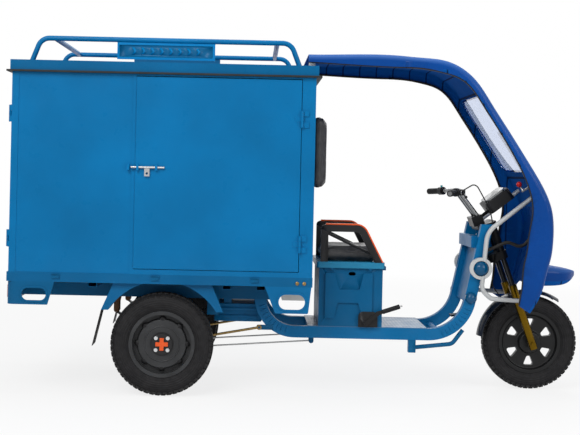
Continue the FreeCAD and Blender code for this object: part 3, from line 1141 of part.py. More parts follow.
# Main frame: two swept beams, cross tubes and the apron between the columns
deep = d("beam_depth")
low = d("beam_low_z")
lean = math.atan2(d("column_top_x") - d("beam_bend_x"), d("column_top_z") - low)
back_x = d("beam_rear_x") - deep / 2
shift = deep / math.cos(lean)


def beam_edge(z, inset):
    # X of a line inside the column, inset square to its front face
    return d("beam_bend_x") + (z - low) * math.tan(lean) - inset / math.cos(lean)


def beam_outline(wall):
    # Side view of a beam, drawn inwards by a wall and past both of its ends
    near = low + wall
    far = low + deep - wall
    head_z = d("column_top_z") + wall
    tail_z = d("beam_top_z") + wall
    return rounded([
        (back_x + wall, tail_z, 0), (back_x + wall, near, d("beam_rear_r") + deep - wall),
        (beam_edge(near, wall), near, d("beam_front_r") + deep - wall), (beam_edge(head_z, wall), head_z,
                                                                         0),
        (beam_edge(head_z, deep - wall), head_z, 0), (beam_edge(far, deep - wall), far,
                                                      d("beam_front_r") + wall),
        (back_x + deep - wall, far, d("beam_rear_r") + wall), (back_x + deep - wall, tail_z, 0)])


beam_at = ("0", "-beam_y", "0")
beam_outside = padded("beam_outside", "XZ_Plane", [beam_outline(0)], "beam_w", beam_at)
beam_inside = padded("beam_inside", "XZ_Plane", [beam_outline(d("tube_wall"))], "beam_w - 2 * tube_wall",
                     beam_at)
beam = less("beam_right", beam_outside, [beam_inside])
doc.recompute()
inside = d("beam_y") - d("beam_w") / 2
mid_low = low + deep / 2
frame_set = [beam, mirrored("beam_left", beam)]
for k, (x, z) in enumerate(((d("rod_front_x"), mid_low), (d("floor_x1") - d("cross_r"), mid_low),
                            (d("pedal_tube_x"), mid_low))):
    frame_set.append(solid(f"frame_cross_{k}",
                           Part.makeCylinder(d("cross_r"), 2 * inside, Vec(x, -inside, z), Vec(0, 1, 0))))


def column_x(z, share):
    # X on the column at one height, share 0 its front face and 1 its rear face
    return d("beam_bend_x") + (z - low) * math.tan(lean) - shift * share


a_low = d("apron_low_z")
a_top = d("apron_top_z")
apron = rounded([(column_x(a_low, APRON_SHARE), a_low, 0), (column_x(a_top, APRON_SHARE), a_top, 0),
                 (column_x(a_top, APRON_SHARE) - d("apron_t"), a_top, 0),
                 (column_x(a_low, APRON_SHARE) - d("apron_t"), a_low, 0)])
frame_set.append(solid("apron", side_plate(apron, -inside, 2 * inside)))
node("floor_plate", block("floor_sheet", ("floor_x1 - floor_x0", "2 * beam_y + beam_w", "floor_t"),
                          ("floor_x0", "-beam_y - beam_w / 2", "beam_low_z + beam_depth")))

# Steering head in the fork's own frame: x ahead of the legs, z up along them
FORK = FreeCAD.Placement(Vec(d("front_axle_x"), 0, d("front_tyre_r")),
                         FreeCAD.Rotation(Vec(0, 1, 0), -d("rake_deg")))
Z_UP = Vec(0, 0, 1)
Y_ON = Vec(0, 1, 0)


def placed(shape, at):
    made = shape.copy()
    made.Placement = at.multiply(made.Placement)
    return made


def fork_point(x, y, z):
    return FORK.multVec(Vec(x, y, z))


axis_x = -d("fork_offset")
head_low = d("crown_s") + d("crown_t") / 2 + d("head_gap")
head_top = d("upper_s") - d("upper_t") / 2 - d("head_gap")
shell = placed(Part.makeCylinder(d("head_r"), head_top - head_low, Vec(axis_x, 0, head_low), Z_UP), FORK)
bore = placed(Part.makeCylinder(d("head_bore_r"), head_top - head_low, Vec(axis_x, 0, head_low), Z_UP),
              FORK)
centre = fork_point(axis_x, 0, (head_low + head_top) / 2)
wide_x = d("bracket_x")
wide = Part.makeBox(d("bracket_w"), 2 * inside, d("neck_h"), Vec(wide_x, -inside,
                                                                 centre.z - d("neck_h") / 2))
neck = Part.makeBox(centre.x - wide_x, 2 * d("neck_half"), d("neck_h"), Vec(wide_x, -d("neck_half"),
                                                                            centre.z - d("neck_h") / 2))
head = solid("head_tube", shell.fuse(neck).fuse(wide).cut(bore).removeSplitter())
node("main_frame", group("main_frame_all", frame_set + [head]))

# Small brackets under the frame: rod lugs, pedal lugs, torque rod lugs, belly guard
brackets = []
for out in (-1, 1):
    y = out * d("rod_y")
    x = d("rod_front_x")
    z = d("rod_front_z")
    w = d("rod_eye_w") / 2 + d("rod_lug_gap")
    lug = d("rod_lug_w")
    tall = mid_low - z
    pieces = []
    for k in (-1, 1):
        y_low = y + w if k > 0 else y - w - lug
        pieces.append(Part.makeBox(2 * d("rod_eye_r"), lug, tall, Vec(x - d("rod_eye_r"), y_low, z)))
        pieces.append(Part.makeCylinder(d("rod_eye_r"), lug, Vec(x, y_low, z), Y_ON))
    reach = w + lug
    pieces.append(Part.makeCylinder(d("rod_pin_r"), 2 * reach, Vec(x, y - reach, z), Y_ON))
    lugs = pieces[0].multiFuse(pieces[1:]).cut(frame_set[2].Shape)
    brackets.append(solid("rod_lug_" + str(out + 1), max(lugs.removeSplitter().Solids,
                                                         key=lambda s: s.Volume)))
lug_y = d("beam_y") + d("beam_w") / 2
lug_line = rounded([(d("torque_front_x") - d("rod_eye_r"), d("torque_z") - d("rod_eye_r"), d("lip_w")),
                    (d("torque_lug_x"), d("torque_z") - d("rod_eye_r"), 0), (d("torque_lug_x"),
                                                                             d("torque_z") + d("rod_eye_r"),
                                                                             0),
                    (d("torque_front_x") - d("rod_eye_r"), d("torque_z") + d("rod_eye_r"), d("lip_w"))])
eye_in = d("torque_y") - d("rod_eye_w") / 2
lug = side_plate(lug_line, -eye_in + d("rod_lug_gap"), eye_in - d("rod_lug_gap") - lug_y)
lug = lug.fuse(Part.makeCylinder(d("rod_pin_r"), d("rod_eye_w") + d("pin_head_t") + d("rod_lug_gap"),
                                 Vec(d("torque_front_x"), -eye_in + d("rod_lug_gap"), d("torque_z")),
                                 Vec(0, -1, 0)))
brackets.extend(pair("torque_lug", lug.removeSplitter()))
px = d("pedal_pivot_x")
pz = d("pedal_pivot_z")
y_in = d("pedal_boss_w") / 2 + d("pedal_lug_gap")
pieces = []
for k in (-1, 1):
    y_low = d("pedal_y") + y_in if k > 0 else d("pedal_y") - y_in - d("pedal_lug_t")
    tab = rounded([(d("pedal_tube_x"), pz - d("pedal_boss_r"), 0), (px, pz - d("pedal_boss_r"), 0),
                   (px + d("pedal_boss_r"), pz, 0), (px, pz + d("pedal_boss_r"), 0),
                   (d("pedal_tube_x"), pz + d("pedal_boss_r"), 0)])
    pieces.append(side_plate(tab, y_low, d("pedal_lug_t")))
reach = y_in + d("pedal_lug_t")
pieces.append(Part.makeCylinder(d("pedal_pin_r"), 2 * reach, Vec(px, d("pedal_y") - reach, pz), Y_ON))
lugs = pieces[0].multiFuse(pieces[1:]).cut(frame_set[4].Shape)
brackets.append(solid("pedal_lugs", max(lugs.removeSplitter().Solids, key=lambda s: s.Volume)))
gx = d("guard_post_x")
by = -d("beam_y")
post = Part.makeBox(d("guard_post_w"), d("guard_post_d"), low - d("guard_post_low_z"),
                    Vec(gx - d("guard_post_w") / 2, by - d("guard_post_d") / 2, d("guard_post_low_z")))
belly = tube([(gx, by, d("belly_z")), (d("belly_end_x"), by, d("belly_end_z"), d("belly_bend")),
              (d("belly_tip_x"), by, d("belly_tip_z"))], d("belly_r"))
belly = post.fuse(belly).cut(beam.Shape)
brackets.append(solid("belly_guard", max(belly.removeSplitter().Solids, key=lambda s: s.Volume)))

# Cab shell: thin U sections set square to the outer line, joined by one smooth loft
STATIONS = []
CAB_LINE = [(d("cab_nose_x") * x, d("cab_roof_z") * z, d("cab_wing") * wing) for x, z, wing in CAB_SHARES]
for i, (x, z, wing) in enumerate(CAB_LINE):
    before = CAB_LINE[max(i - 1, 0)]
    after = CAB_LINE[min(i + 1, len(CAB_LINE) - 1)]
    along = Vec(after[0] - before[0], 0, after[1] - before[1]).normalize()
    outward = Vec(-along.z, 0, along.x)
    matrix = FreeCAD.Matrix(0, -outward.x, -outward.z, x, 1, 0, 0, 0, 0, -outward.z, outward.x, z)
    STATIONS.append((FreeCAD.Placement(matrix), wing, outward))


def cab_loft(profile):
    return loft([wire3(profile(wing), at) for at, wing, outward in STATIONS])


def u_section(wing):
    w = d("cab_half_w")
    thick = d("cab_t")
    r = d("cab_round")
    return rounded([(-w, wing, 0), (-w, 0, r), (w, 0, r), (w, wing, 0), (w - thick, wing, 0),
                    (w - thick, thick, r - thick),
                    (thick - w, thick, r - thick), (thick - w, wing, 0)])


def trim_section(wing):
    r = d("trim_r")
    return rect(r, r, 0, d("cab_t") + r + d("clamp_gap") - d("cab_half_w"), wing)


cab = cab_loft(u_section)
first = CAB_LINE[SCREEN_SPAN[0] + 1]
last = CAB_LINE[SCREEN_SPAN[1]]
slope = Vec(first[0] - last[0], 0, first[1] - last[1]).normalize()
facing = Vec(slope.z, 0, -slope.x)
screen_mid = Vec((first[0] + last[0]) / 2, 0, (first[1] + last[1]) / 2)
SCREEN = FreeCAD.Placement(FreeCAD.Matrix(0, slope.x, facing.x, screen_mid.x, -1, 0, 0, 0, 0, slope.z,
                                          facing.z, screen_mid.z))


def screen_prism(grow):
    flat = wire3(rect(d("screen_half_w") + grow, d("screen_half_h") + grow, d("screen_round") + grow),
                 SCREEN)
    reach = facing * d("screen_reach")
    flat.translate(reach * -1)
    return face_of([flat]).extrude(reach * 2)


WIPER = FreeCAD.Placement(FreeCAD.Matrix(slope.x, 0, facing.x, d("wiper_s_x"), 0, -1, 0, d("wiper_y"),
                                         slope.z, 0, facing.z,
                                         d("wiper_z")))
pin_hole = placed(Part.makeCylinder(d("wiper_pin_r") + d("wiper_gap"), 2 * d("wiper_in"),
                                    Vec(0, 0, -d("wiper_in")), Z_UP), WIPER)
arch_mid = (d("arch_top_z") + d("arch_low_z")) / 2
arch_at = FreeCAD.Placement(FreeCAD.Matrix(0, 0, 1, d("arch_x"), 1, 0, 0, 0, 0, 1, 0, arch_mid))
arch = wire3(rect(d("arch_half"), (d("arch_top_z") - d("arch_low_z")) / 2, d("arch_round"), 0, 0), arch_at)
arch = face_of([arch]).extrude(Vec(d("arch_len"), 0, 0))
shell = cab.cut(screen_prism(0)).cut(pin_hole).cut(arch)
shell = max(shell.Solids, key=lambda s: s.Volume)
node("cab_shell", solid("cab_shell_solid", shell))
lap = d("glass_lap")
flat = wire3(rect(d("screen_half_w") + lap, d("screen_half_h") + lap, d("screen_round") + lap), SCREEN)
flat.translate(facing * -(d("cab_t") + d("glass_gap")))
glass = face_of([flat]).extrude(facing * -d("glass_t"))
node("windscreen", solid("windscreen_solid", glass))
node("rubber_trims", group("rubber_trims_all", [gutter] + pair("cab_trim", cab_loft(trim_section))))


# Points round a tube's section at which its end is measured
RIM_POINTS = 12


def outside(shape, tool):
    return max(shape.cut(tool).Solids, key=lambda s: s.Volume)


def cab_hit(start, heading):
    # First point of the cab's skin that a straight line meets
    line = Part.LineSegment(start, start + heading * d("probe_len")).toShape()
    return min((v.Point for v in cab.common(line).Vertexes), key=lambda p: (p - start).Length)


def stop_at_cab(shape, start, heading, radius):
    # Ends a tube flat just short of the inside of the cab, all round its section
    hit = cab_hit(start, heading)
    side = heading.cross(Y_ON)
    turns = [2 * math.pi * k / RIM_POINTS for k in range(RIM_POINTS)]
    rim = [start + (Y_ON * math.cos(a) + side * math.sin(a)) * radius for a in turns]
    flat_hit = Vec(hit.x, 0, hit.z)
    out = min(STATIONS, key=lambda s: (s[0].Base - flat_hit).Length)[2]
    near = min((cab_hit(p, heading) - hit).dot(out) for p in rim)
    size = d("cut_size")
    beyond = Part.makeBox(2 * size, 2 * size, size, Vec(-size, -size, 0))
    beyond.Placement = FreeCAD.Placement(hit + out * (min(near, 0) - d("foot_gap")), FreeCAD.Rotation(Z_UP, out))
    return outside(shape, beyond)


# Feet that carry the back of the cab roof on the box roof
foot_low = Vec(d("foot_x"), -d("foot_y") - d("foot_len") / 2, d("roof_top_z"))
corners = [foot_low + Vec(i * d("foot_w"), j * d("foot_len"), 0) for i in (0, 1) for j in (0, 1)]
foot_top = min(cab_hit(p, Z_UP).z for p in corners) - d("foot_gap")
feet = pair("cab_foot", Part.makeBox(d("foot_w"), d("foot_len"), foot_top - d("roof_top_z"), foot_low))


# Beak over the front wheel, hollow, closed at its tip
NOSE_LINE = [(d("nose_tip_x") * x, share, d("nose_top_z") * low_z, d("nose_top_z") * top_z)
             for x, share, low_z, top_z in NOSE_SHARES]


def beak(skin):
    wires = []
    for x, share, low_z, top_z in NOSE_LINE:
        tall = (top_z - low_z) / 2 - skin
        wide = d("nose_half_w") * share - skin
        at = FreeCAD.Placement(FreeCAD.Matrix(0, 0, 1, x - skin, 1, 0, 0, 0, 0, 1, 0, (top_z + low_z) / 2))
        wires.append(wire3(rect(wide, tall, min(tall, wide) * NOSE_ROUND_SHARE), at))
    return loft(wires)


cowl = beak(0).cut(beak(d("nose_t"))).cut(cab)
node("nose_cowl", solid("nose_cowl_solid", max(cowl.Solids, key=lambda s: s.CenterOfMass.x)))

# Tubes that carry the front of the cab, with a ring in each
path = [(d("cab_nose_x") * x, -d("support_y"), d("cab_roof_z") * z, d("support_bend") * r)
        for x, z, r in SUPPORT_SHARES]
pipe = tube(path, d("support_r"))
for near, far in ((path[1], path[0]), (path[-2], path[-1])):
    start = Vec(*near[:3])
    pipe = stop_at_cab(pipe, start, (Vec(*far[:3]) - start).normalize(), d("support_r"))
ring_at = Vec(d("ring_x"), -lug_y, d("ring_z"))
hoop = Part.makeCylinder(d("ring_r"), d("ring_w"), ring_at, Vec(0, -1, 0))
pipe = pipe.fuse(hoop).cut(Part.makeCylinder(d("ring_bore"), d("ring_w") * 2, ring_at, Vec(0, -1, 0)))
pipe = pipe.removeSplitter()
node("cab_supports", group("cab_supports_all", pair("cab_support", pipe) + feet))


def dome(x, z, radius, height):
    # A short drum under a cap cut from a ball
    wall = height * DOME_SHARE
    bulge = height - wall
    ball = (radius ** 2 + bulge ** 2) / (2 * bulge)
    drum = Part.makeCylinder(radius, height + wall, Vec(x, -lug_y, z), Vec(0, -1, 0))
    return drum.common(Part.makeSphere(ball, Vec(x, -lug_y - height + ball, z)))


node("dome_caps", group("dome_caps_all", pair("dome", dome(d("ring_x"), d("ring_z"), d("dome_r"),
                                                           d("dome_h")))
                        + pair("dome_small", dome(d("dome2_x"), d("dome2_z"), d("dome2_r"), d("dome2_h")))))

# Cable conduit from the cab to the column
conduit = tube([(d("cond_x0"), d("cond_y"), d("cond_z0")), (d("cond_x1"), d("cond_y"), d("cond_z1"),
                                                            d("cond_bend")),
                (d("cond_x2"), d("cond_y"), d("cond_z2"), d("cond_bend")), (d("cond_x3"), d("cond_y"),
                                                                            d("cond_z3"))], d("cond_r"))
start = Vec(d("cond_x1"), d("cond_y"), d("cond_z1"))
ahead = (Vec(d("cond_x0"), d("cond_y"), d("cond_z0")) - start).normalize()
conduit = stop_at_cab(conduit, start, ahead, d("cond_r"))
node("wiring_conduit", solid("wiring_conduit_solid", outside(conduit, beam.Shape)))

# Seat barrel: four pressed walls round the batteries, open on top
s0 = d("seat_x0")
s1 = d("seat_x1")
sw = d("seat_half_w")
sz = d("seat_low_z")
tall = d("seat_top_z") - sz
thin = d("seat_sheet")
wall = Part.makeBox(s1 - s0, thin, tall, Vec(s0, -sw, sz))
emboss = rounded([(s0 + u * (s1 - s0), sz + v * tall * EMBOSS_TALL, d("emboss_round")) for u,
                  v in EMBOSS_SHARES])
wall = wall.fuse(side_plate(emboss, -sw - d("seat_emboss"), d("seat_emboss")))
for share in PORT_SHARES:
    wall = wall.fuse(Part.makeCylinder(d("lug_r"), d("seat_emboss"), Vec(s0 + share * (s1 - s0), -sw,
                                                                         d("lug_z")), Vec(0, -1, 0)))
port = side_plate(stadium(d("port_x"), d("port_z"), 4 * d("port_r"), 2 * d("port_r")), -sw - thin, 3 * thin)
wall = wall.cut(port).removeSplitter()
ends = []
for k, x in enumerate((s0, s1 - thin)):
    end = Part.makeBox(thin, 2 * (sw - thin), tall, Vec(x, thin - sw, sz))
    if k:
        for out in (-1, 1):
            for lean_y in (-1, 1):
                y = out * d("lid_knuckle_y") + lean_y * (d("lid_knuckle_w") / 2 + d("lid_lug_gap"))
                y_low = y if lean_y > 0 else y - d("lid_lug_w")
                arm = Part.makeBox(d("lid_hinge_x") + d("lid_lug_r") - s1, d("lid_lug_w"), d("lid_arm_h"),
                                   Vec(s1, y_low, d("lid_arm_z")))
                rise = Part.makeBox(2 * d("lid_lug_r"), d("lid_lug_w"), d("lid_hinge_z") - d("lid_arm_z"),
                                    Vec(d("lid_hinge_x") - d("lid_lug_r"), y_low, d("lid_arm_z")))
                cap = Part.makeCylinder(d("lid_lug_r"), d("lid_lug_w"), Vec(d("lid_hinge_x"), y_low,
                                                                            d("lid_hinge_z")), Y_ON)
                end = end.fuse(arm).fuse(rise).fuse(cap)
            reach = d("lid_knuckle_w") + 2 * d("lid_lug_gap") + 2 * d("lid_lug_w")
            end = end.fuse(Part.makeCylinder(d("lid_hinge_r"), reach,
                                             Vec(d("lid_hinge_x"), out * d("lid_knuckle_y") - reach / 2,
                                                 d("lid_hinge_z")), Y_ON))
    ends.append(solid(f"seat_end_{k}", end.removeSplitter()))
node("seat_barrel", group("seat_barrel_all", pair("seat_side", wall) + ends))
cells = []
for row_y in ("battery_gap - battery_len - 2 * battery_gap", "battery_gap"):
    for k in range(3):
        cells.append(block(f"battery_{len(cells)}", ("battery_w", "battery_len", "battery_h"),
                           (f"seat_x0 + seat_sheet + battery_gap + {k} * battery_w + {k} * battery_gap",
                            row_y, "seat_low_z")))
node("battery_pack", group("battery_pack_all", cells))
node("motor_controller", block("controller_box", ("controller_len", "controller_w", "controller_h"),
                               ("controller_x", "-controller_w / 2", "controller_z")))

# Seat lid with its hinge knuckles, cushion, armrests
lz = d("lid_z")
lid_top = lz + d("lid_h")
lw = d("lid_wall")
lid_at = FreeCAD.Placement(Vec(0, 0, lz), FreeCAD.Rotation())
mid_x = (d("lid_x0") + d("lid_x1")) / 2
half_x = (d("lid_x1") - d("lid_x0")) / 2
lid = face_of([wire3(rect(half_x, d("lid_half_w"), d("lid_round"), mid_x, 0),
                     lid_at)]).extrude(Vec(0, 0, d("lid_h")))
hollow = face_of([wire3(rect(half_x - lw, d("lid_half_w") - lw, d("lid_round") - lw, mid_x, 0), lid_at)])
lid = lid.cut(hollow.extrude(Vec(0, 0, d("lid_h") - lw)))
for out in (-1, 1):
    y_low = out * d("lid_knuckle_y") - d("lid_knuckle_w") / 2
    eye = Part.makeBox(d("lid_hinge_x") - d("lid_x1"), d("lid_knuckle_w"), 2 * d("lid_lug_r"),
                       Vec(d("lid_x1"), y_low, d("lid_hinge_z") - d("lid_lug_r")))
    eye = eye.fuse(Part.makeCylinder(d("lid_lug_r"), d("lid_knuckle_w"), Vec(d("lid_hinge_x"), y_low,
                                                                             d("lid_hinge_z")), Y_ON))
    lid = lid.fuse(eye).cut(Part.makeCylinder(d("lid_hinge_r") + d("wiper_gap"), d("lid_knuckle_w"),
                                              Vec(d("lid_hinge_x"), y_low, d("lid_hinge_z")), Y_ON))
node("seat_lid", solid("seat_lid_solid", lid.removeSplitter()))


def pillow(levels, half_u, half_v, frame_at):
    # Rounded sections drawn in by an inset at each level, for a crowned cushion
    wires = [wire3(rect(half_u - inset, half_v - inset, d("cushion_round")), frame_at(level)) for level,
             inset in levels]
    return Part.makeLoft(wires, True, True)


cx = (d("cushion_x0") + d("cushion_x1")) / 2
ch = d("cushion_h")
cushion = pillow([(ch * share, d("cushion_inset") * inset) for share, inset in CUSHION_LEVELS],
                 (d("cushion_x1") - d("cushion_x0")) / 2, d("cushion_half_w"),
                 lambda level: FreeCAD.Placement(Vec(cx, 0, lid_top + level), FreeCAD.Rotation()))
node("seat_cushion", solid("seat_cushion_solid", cushion))
bz = (d("back_low_z") + d("back_top_z")) / 2
back = pillow([(d("back_depth") * share, d("cushion_inset") * inset) for share, inset in CUSHION_LEVELS],
              d("back_half_w"), (d("back_top_z") - d("back_low_z")) / 2,
              lambda level: FreeCAD.Placement(FreeCAD.Matrix(0, 0, 1, d("back_x0") + level, 1, 0, 0, 0, 0,
                                                             1, 0, bz)))
node("backrest", solid("backrest_solid", back))


def arm_points(shares):
    # Corners of an armrest line in side view, standing on the lid
    foot = d("lid_z") + d("lid_h")
    return [(d("arm_rear_x") + (d("arm_front_x") - d("arm_rear_x")) * x, foot + (d("arm_top_z") - foot) * z,
             d("arm_round") * r) for x, z, r in shares]


arch = rounded(arm_points(ARM_SHARES) + arm_points(ARM_HOLE_SHARES)[::-1])
arm_y = -d("arm_y") - d("arm_t") / 2
arm = side_plate(arch, arm_y, d("arm_t"))
strut = Vec(d("brace_x1") - d("brace_x0"), 0, d("brace_z1") - d("brace_z0"))
arm = arm.fuse(Part.makeCylinder(d("brace_r"), strut.Length, Vec(d("brace_x0"), -d("arm_y"), d("brace_z0")),
                                 strut))
arms = pair("armrest", arm.removeSplitter())
trim = rounded(arm_points(TRIM_SHARES))
arms.extend(pair("armrest_trim", side_plate(trim, arm_y, d("arm_t"))))
node("armrests", group("armrests_all", arms))

# Hand brake beside the seat: notched plate, lever, release button
hb = Vec(d("hb_x"), 0, d("hb_z"))
out_y = -sw - d("seat_emboss")
quadrant = rounded([(d("hb_plate_x0"), sz, 0), (d("hb_plate_x1"), sz, 0), (d("hb_plate_x1"),
                                                                           d("hb_plate_z"), d("hb_plate_r")),
                    (d("hb_plate_x0"), d("hb_plate_z"), d("hb_plate_r"))])
base = side_plate(quadrant, out_y - d("hb_plate_t"), d("hb_plate_t"))
lever_y = -d("hb_y") - d("hb_lever_t") / 2
base = base.fuse(Part.makeCylinder(d("hb_pin_r"), -lever_y + out_y + d("hb_gap") * 2, Vec(hb.x, out_y, hb.z),
                                   Vec(0, -1, 0)))
brackets.append(solid("handbrake_plate", base.removeSplitter()))
node("frame_brackets", group("frame_brackets_all", brackets))
bar = d("hb_bar") / 2
lean_to = Vec(d("hb_end_x") - d("hb_bend_x"), 0, d("hb_end_z") - d("hb_bend_z")).normalize()
bend = Vec(d("hb_bend_x"), 0, d("hb_bend_z"))
strap = rounded([(hb.x - bar, hb.z - bar, bar / 2), (hb.x + bar, hb.z - bar, bar / 2),
                 (bend.x + bar, bend.z - bar, bar / 2),
                 (bend.x + bar + lean_to.x * d("hb_stub"), bend.z - bar / 2 + lean_to.z * d("hb_stub"), 0),
                 (bend.x + lean_to.x * d("hb_stub"), bend.z + bar + lean_to.z * d("hb_stub"), 0),
                 (bend.x - bar, bend.z + bar, bar / 2), (hb.x - bar, hb.z + bar, bar / 2)])
lever = side_plate(strap, lever_y, d("hb_lever_t"))
grip_end = Vec(d("hb_end_x"), -d("hb_y"), d("hb_end_z"))
grip_start = grip_end - lean_to * d("hb_grip_len")
lever = lever.fuse(Part.makeCylinder(d("hb_grip_r"), d("hb_grip_len"), grip_start, lean_to))
lever = lever.cut(Part.makeCylinder(d("hb_pin_r") + d("hb_slot_gap"), d("hb_lever_t"),
                                    Vec(hb.x, lever_y, hb.z), Y_ON))
well = d("hb_button_in") + d("hb_button_out")
lever = lever.cut(Part.makeCylinder(d("hb_button_r") + d("hb_slot_gap"), well, grip_end - lean_to * well,
                                    lean_to))
node("handbrake_lever", solid("handbrake_lever_solid", lever.removeSplitter()))
node("handbrake_button", solid("handbrake_button_solid", Part.makeCylinder(
    d("hb_button_r"), d("hb_button_in") + d("hb_button_out"), grip_end - lean_to * d("hb_button_in"),
    lean_to)))

# Foot brake pedal
foot_dir = Vec(d("pedal_x") - px, 0, d("pedal_z") - pz).normalize()
reach = Vec(d("pedal_x") - px, 0, d("pedal_z") - pz).Length
boss = Part.makeCylinder(d("pedal_boss_r"), d("pedal_boss_w"), Vec(px, d("pedal_y") - d("pedal_boss_w") / 2,
                                                                   pz), Y_ON)
stem_dir = FreeCAD.Rotation(Vec(0, 0, 1), foot_dir)
stem = Part.makeBox(d("pedal_bar"), d("pedal_bar"), reach, Vec(-d("pedal_bar") / 2, -d("pedal_bar") / 2, 0))
stem = placed(stem, FreeCAD.Placement(Vec(px, d("pedal_y"), pz), stem_dir))
pad = Part.makeBox(d("pedal_len"), d("pedal_w"), d("pedal_t"), Vec(-d("pedal_len") / 2, -d("pedal_w") / 2,
                                                                   0))
pad = placed(pad, FreeCAD.Placement(Vec(d("pedal_x"), d("pedal_y"), d("pedal_z")),
                                    FreeCAD.Rotation(Y_ON, -d("pedal_tilt"))))
pedal = boss.fuse(stem).fuse(pad)
pedal = pedal.cut(Part.makeCylinder(d("pedal_pin_r") + d("hb_slot_gap"), d("pedal_boss_w"),
                                    Vec(px, d("pedal_y") - d("pedal_boss_w") / 2, pz), Y_ON))
node("brake_pedal", solid("brake_pedal_solid", pedal.removeSplitter()))

# Fork: crown with stem and shrouds, chrome stanchions, sliding legs
legs_y = (-d("leg_y"), d("leg_y"))
grow = d("crown_d") / 2
plate_mid = axis_x / 2


def clamp_plate(low_s, thick):
    at = FreeCAD.Placement(Vec(0, 0, low_s), FreeCAD.Rotation())
    outline = rect(d("fork_offset") / 2 + grow, d("leg_y") + d("crown_r"), d("crown_r"), plate_mid, 0)
    return face_of([wire3(outline, at)]).extrude(Vec(0, 0, thick))


crown_low = d("crown_s") - d("crown_t") / 2
crown_top = d("crown_s") + d("crown_t") / 2
upper_low = d("upper_s") - d("upper_t") / 2
upper_top = d("upper_s") + d("upper_t") / 2
crown = clamp_plate(crown_low, d("crown_t")).fuse(clamp_plate(upper_low, d("upper_t")))
crown = crown.fuse(Part.makeCylinder(d("stem_r"), upper_low - crown_top, Vec(axis_x, 0, crown_top), Z_UP))
for y in legs_y:
    crown = crown.fuse(Part.makeCylinder(d("shroud_r"), upper_low - crown_top, Vec(0, y, crown_top), Z_UP))
for y in legs_y:
    crown = crown.cut(Part.makeCylinder(d("stanchion_r") + d("clamp_gap"), upper_top - crown_low,
                                        Vec(0, y, crown_low), Z_UP))
crown = crown.fuse(Part.makeBox(d("clamp_x"), d("clamp_y"), d("clamp_h"),
                                Vec(axis_x - d("clamp_x") * CLAMP_SHARE, -d("clamp_y") / 2, upper_top)))
node("fork_crown", solid("fork_crown_solid", placed(crown.removeSplitter(), FORK)))
chrome = [placed(Part.makeCylinder(d("stanchion_r"), upper_top - d("stanchion_low"),
                                   Vec(0, y, d("stanchion_low")), Z_UP), FORK)
          for y in legs_y]
node("fork_stanchions", group("fork_stanchions_all", [solid(f"stanchion_{k}", s) for k,
                                                      s in enumerate(chrome)]))
legs = Part.makeCylinder(d("axle_pin_r"), 2 * d("leg_y"), Vec(0, -d("leg_y"), 0), Y_ON)
for y in legs_y:
    leg = Part.makeCylinder(d("leg_r"), d("leg_top") + d("leg_foot"), Vec(0, y, -d("leg_foot")), Z_UP)
    leg = leg.cut(Part.makeCylinder(d("stanchion_r") + d("stanchion_gap"), d("leg_top"),
                                    Vec(0, y, d("leg_bore_low")), Z_UP))
    away = Vec(0, math.copysign(1, y), 0)
    leg = leg.fuse(Part.makeCylinder(d("axle_nut_r"), d("leg_r") + d("axle_nut_w"), Vec(0, y, 0), away))
    legs = legs.fuse(leg)
legs = placed(legs.removeSplitter(), FORK)
node("fork_legs", solid("fork_legs_solid", legs))

# Front mudguard: a crowned strip turned about the axle, with a stub to each leg
mr = d("mud_front_r")
mw = d("mud_front_w") / 2
mc = d("mud_crown")
mt = d("mud_front_t")
skin = [Part.ArcOfCircle(Vec(mr - mc, -mw, 0), Vec(mr, 0, 0), Vec(mr - mc, mw, 0)),
        Part.LineSegment(Vec(mr - mc, mw, 0), Vec(mr - mc - mt, mw, 0)),
        Part.ArcOfCircle(Vec(mr - mc - mt, mw, 0), Vec(mr - mt, 0, 0), Vec(mr - mc - mt, -mw, 0)),
        Part.LineSegment(Vec(mr - mc - mt, -mw, 0), Vec(mr - mc, -mw, 0))]
flat = wire3(skin, FreeCAD.Placement(Vec(0, 0, 0), FreeCAD.Rotation(Vec(0, -1, 0), d("mud_a0"))))
guard = face_of([flat]).revolve(Vec(0, 0, 0), Vec(0, -1, 0), d("mud_a1") - d("mud_a0"))
guard.translate(Vec(d("front_axle_x"), 0, d("front_tyre_r")))
for y in legs_y:
    inward = Vec(0, -math.copysign(1, y), 0)
    stub = placed(Part.makeCylinder(d("stay_r"), d("stay_len"), Vec(0, y, d("stay_s")), inward), FORK)
    guard = guard.fuse(stub.cut(legs))
guard = max(guard.removeSplitter().Solids, key=lambda s: s.Volume)
node("front_mudguard", solid("front_mudguard_solid", guard))

# Handlebar with risers, grips, switch pods, brake lever
bx = d("bar_x")
bar_z = d("bar_z")
curve = [(d("bar_end_x"), d("bar_end_y"), d("bar_end_z")), (d("bar_bend_x"), d("bar_bend_y"),
                                                            d("bar_bend_z"), d("bar_bend")),
         (bx, d("bar_mid_y"), bar_z, d("bar_bend"))]
curve = [(p[0], -p[1]) + tuple(p[2:]) for p in curve] + curve[::-1]
bar_tube = tube(curve, d("bar_r"))
for y in (-d("riser_y"), d("riser_y")):
    foot = fork_point(axis_x, y, upper_top + d("clamp_h") - d("riser_sink"))
    head = Vec(bx, y, bar_z)
    bar_tube = bar_tube.fuse(Part.makeCylinder(d("riser_r"), (head - foot).Length, foot, head - foot))
bar_tube = outside(bar_tube, NODES["fork_crown"].Shape)
node("handlebar", solid("handlebar_solid", bar_tube))


def along_bar(out, start, length, radius, bore):
    tip = Vec(d("bar_end_x"), out * d("bar_end_y"), d("bar_end_z"))
    to = (Vec(d("bar_bend_x"), out * d("bar_bend_y"), d("bar_bend_z")) - tip).normalize()
    made = Part.makeCylinder(radius, length, tip + to * start, to)
    return made.cut(Part.makeCylinder(bore, length, tip + to * start,
                                      to)), tip + to * (start + length / 2), to


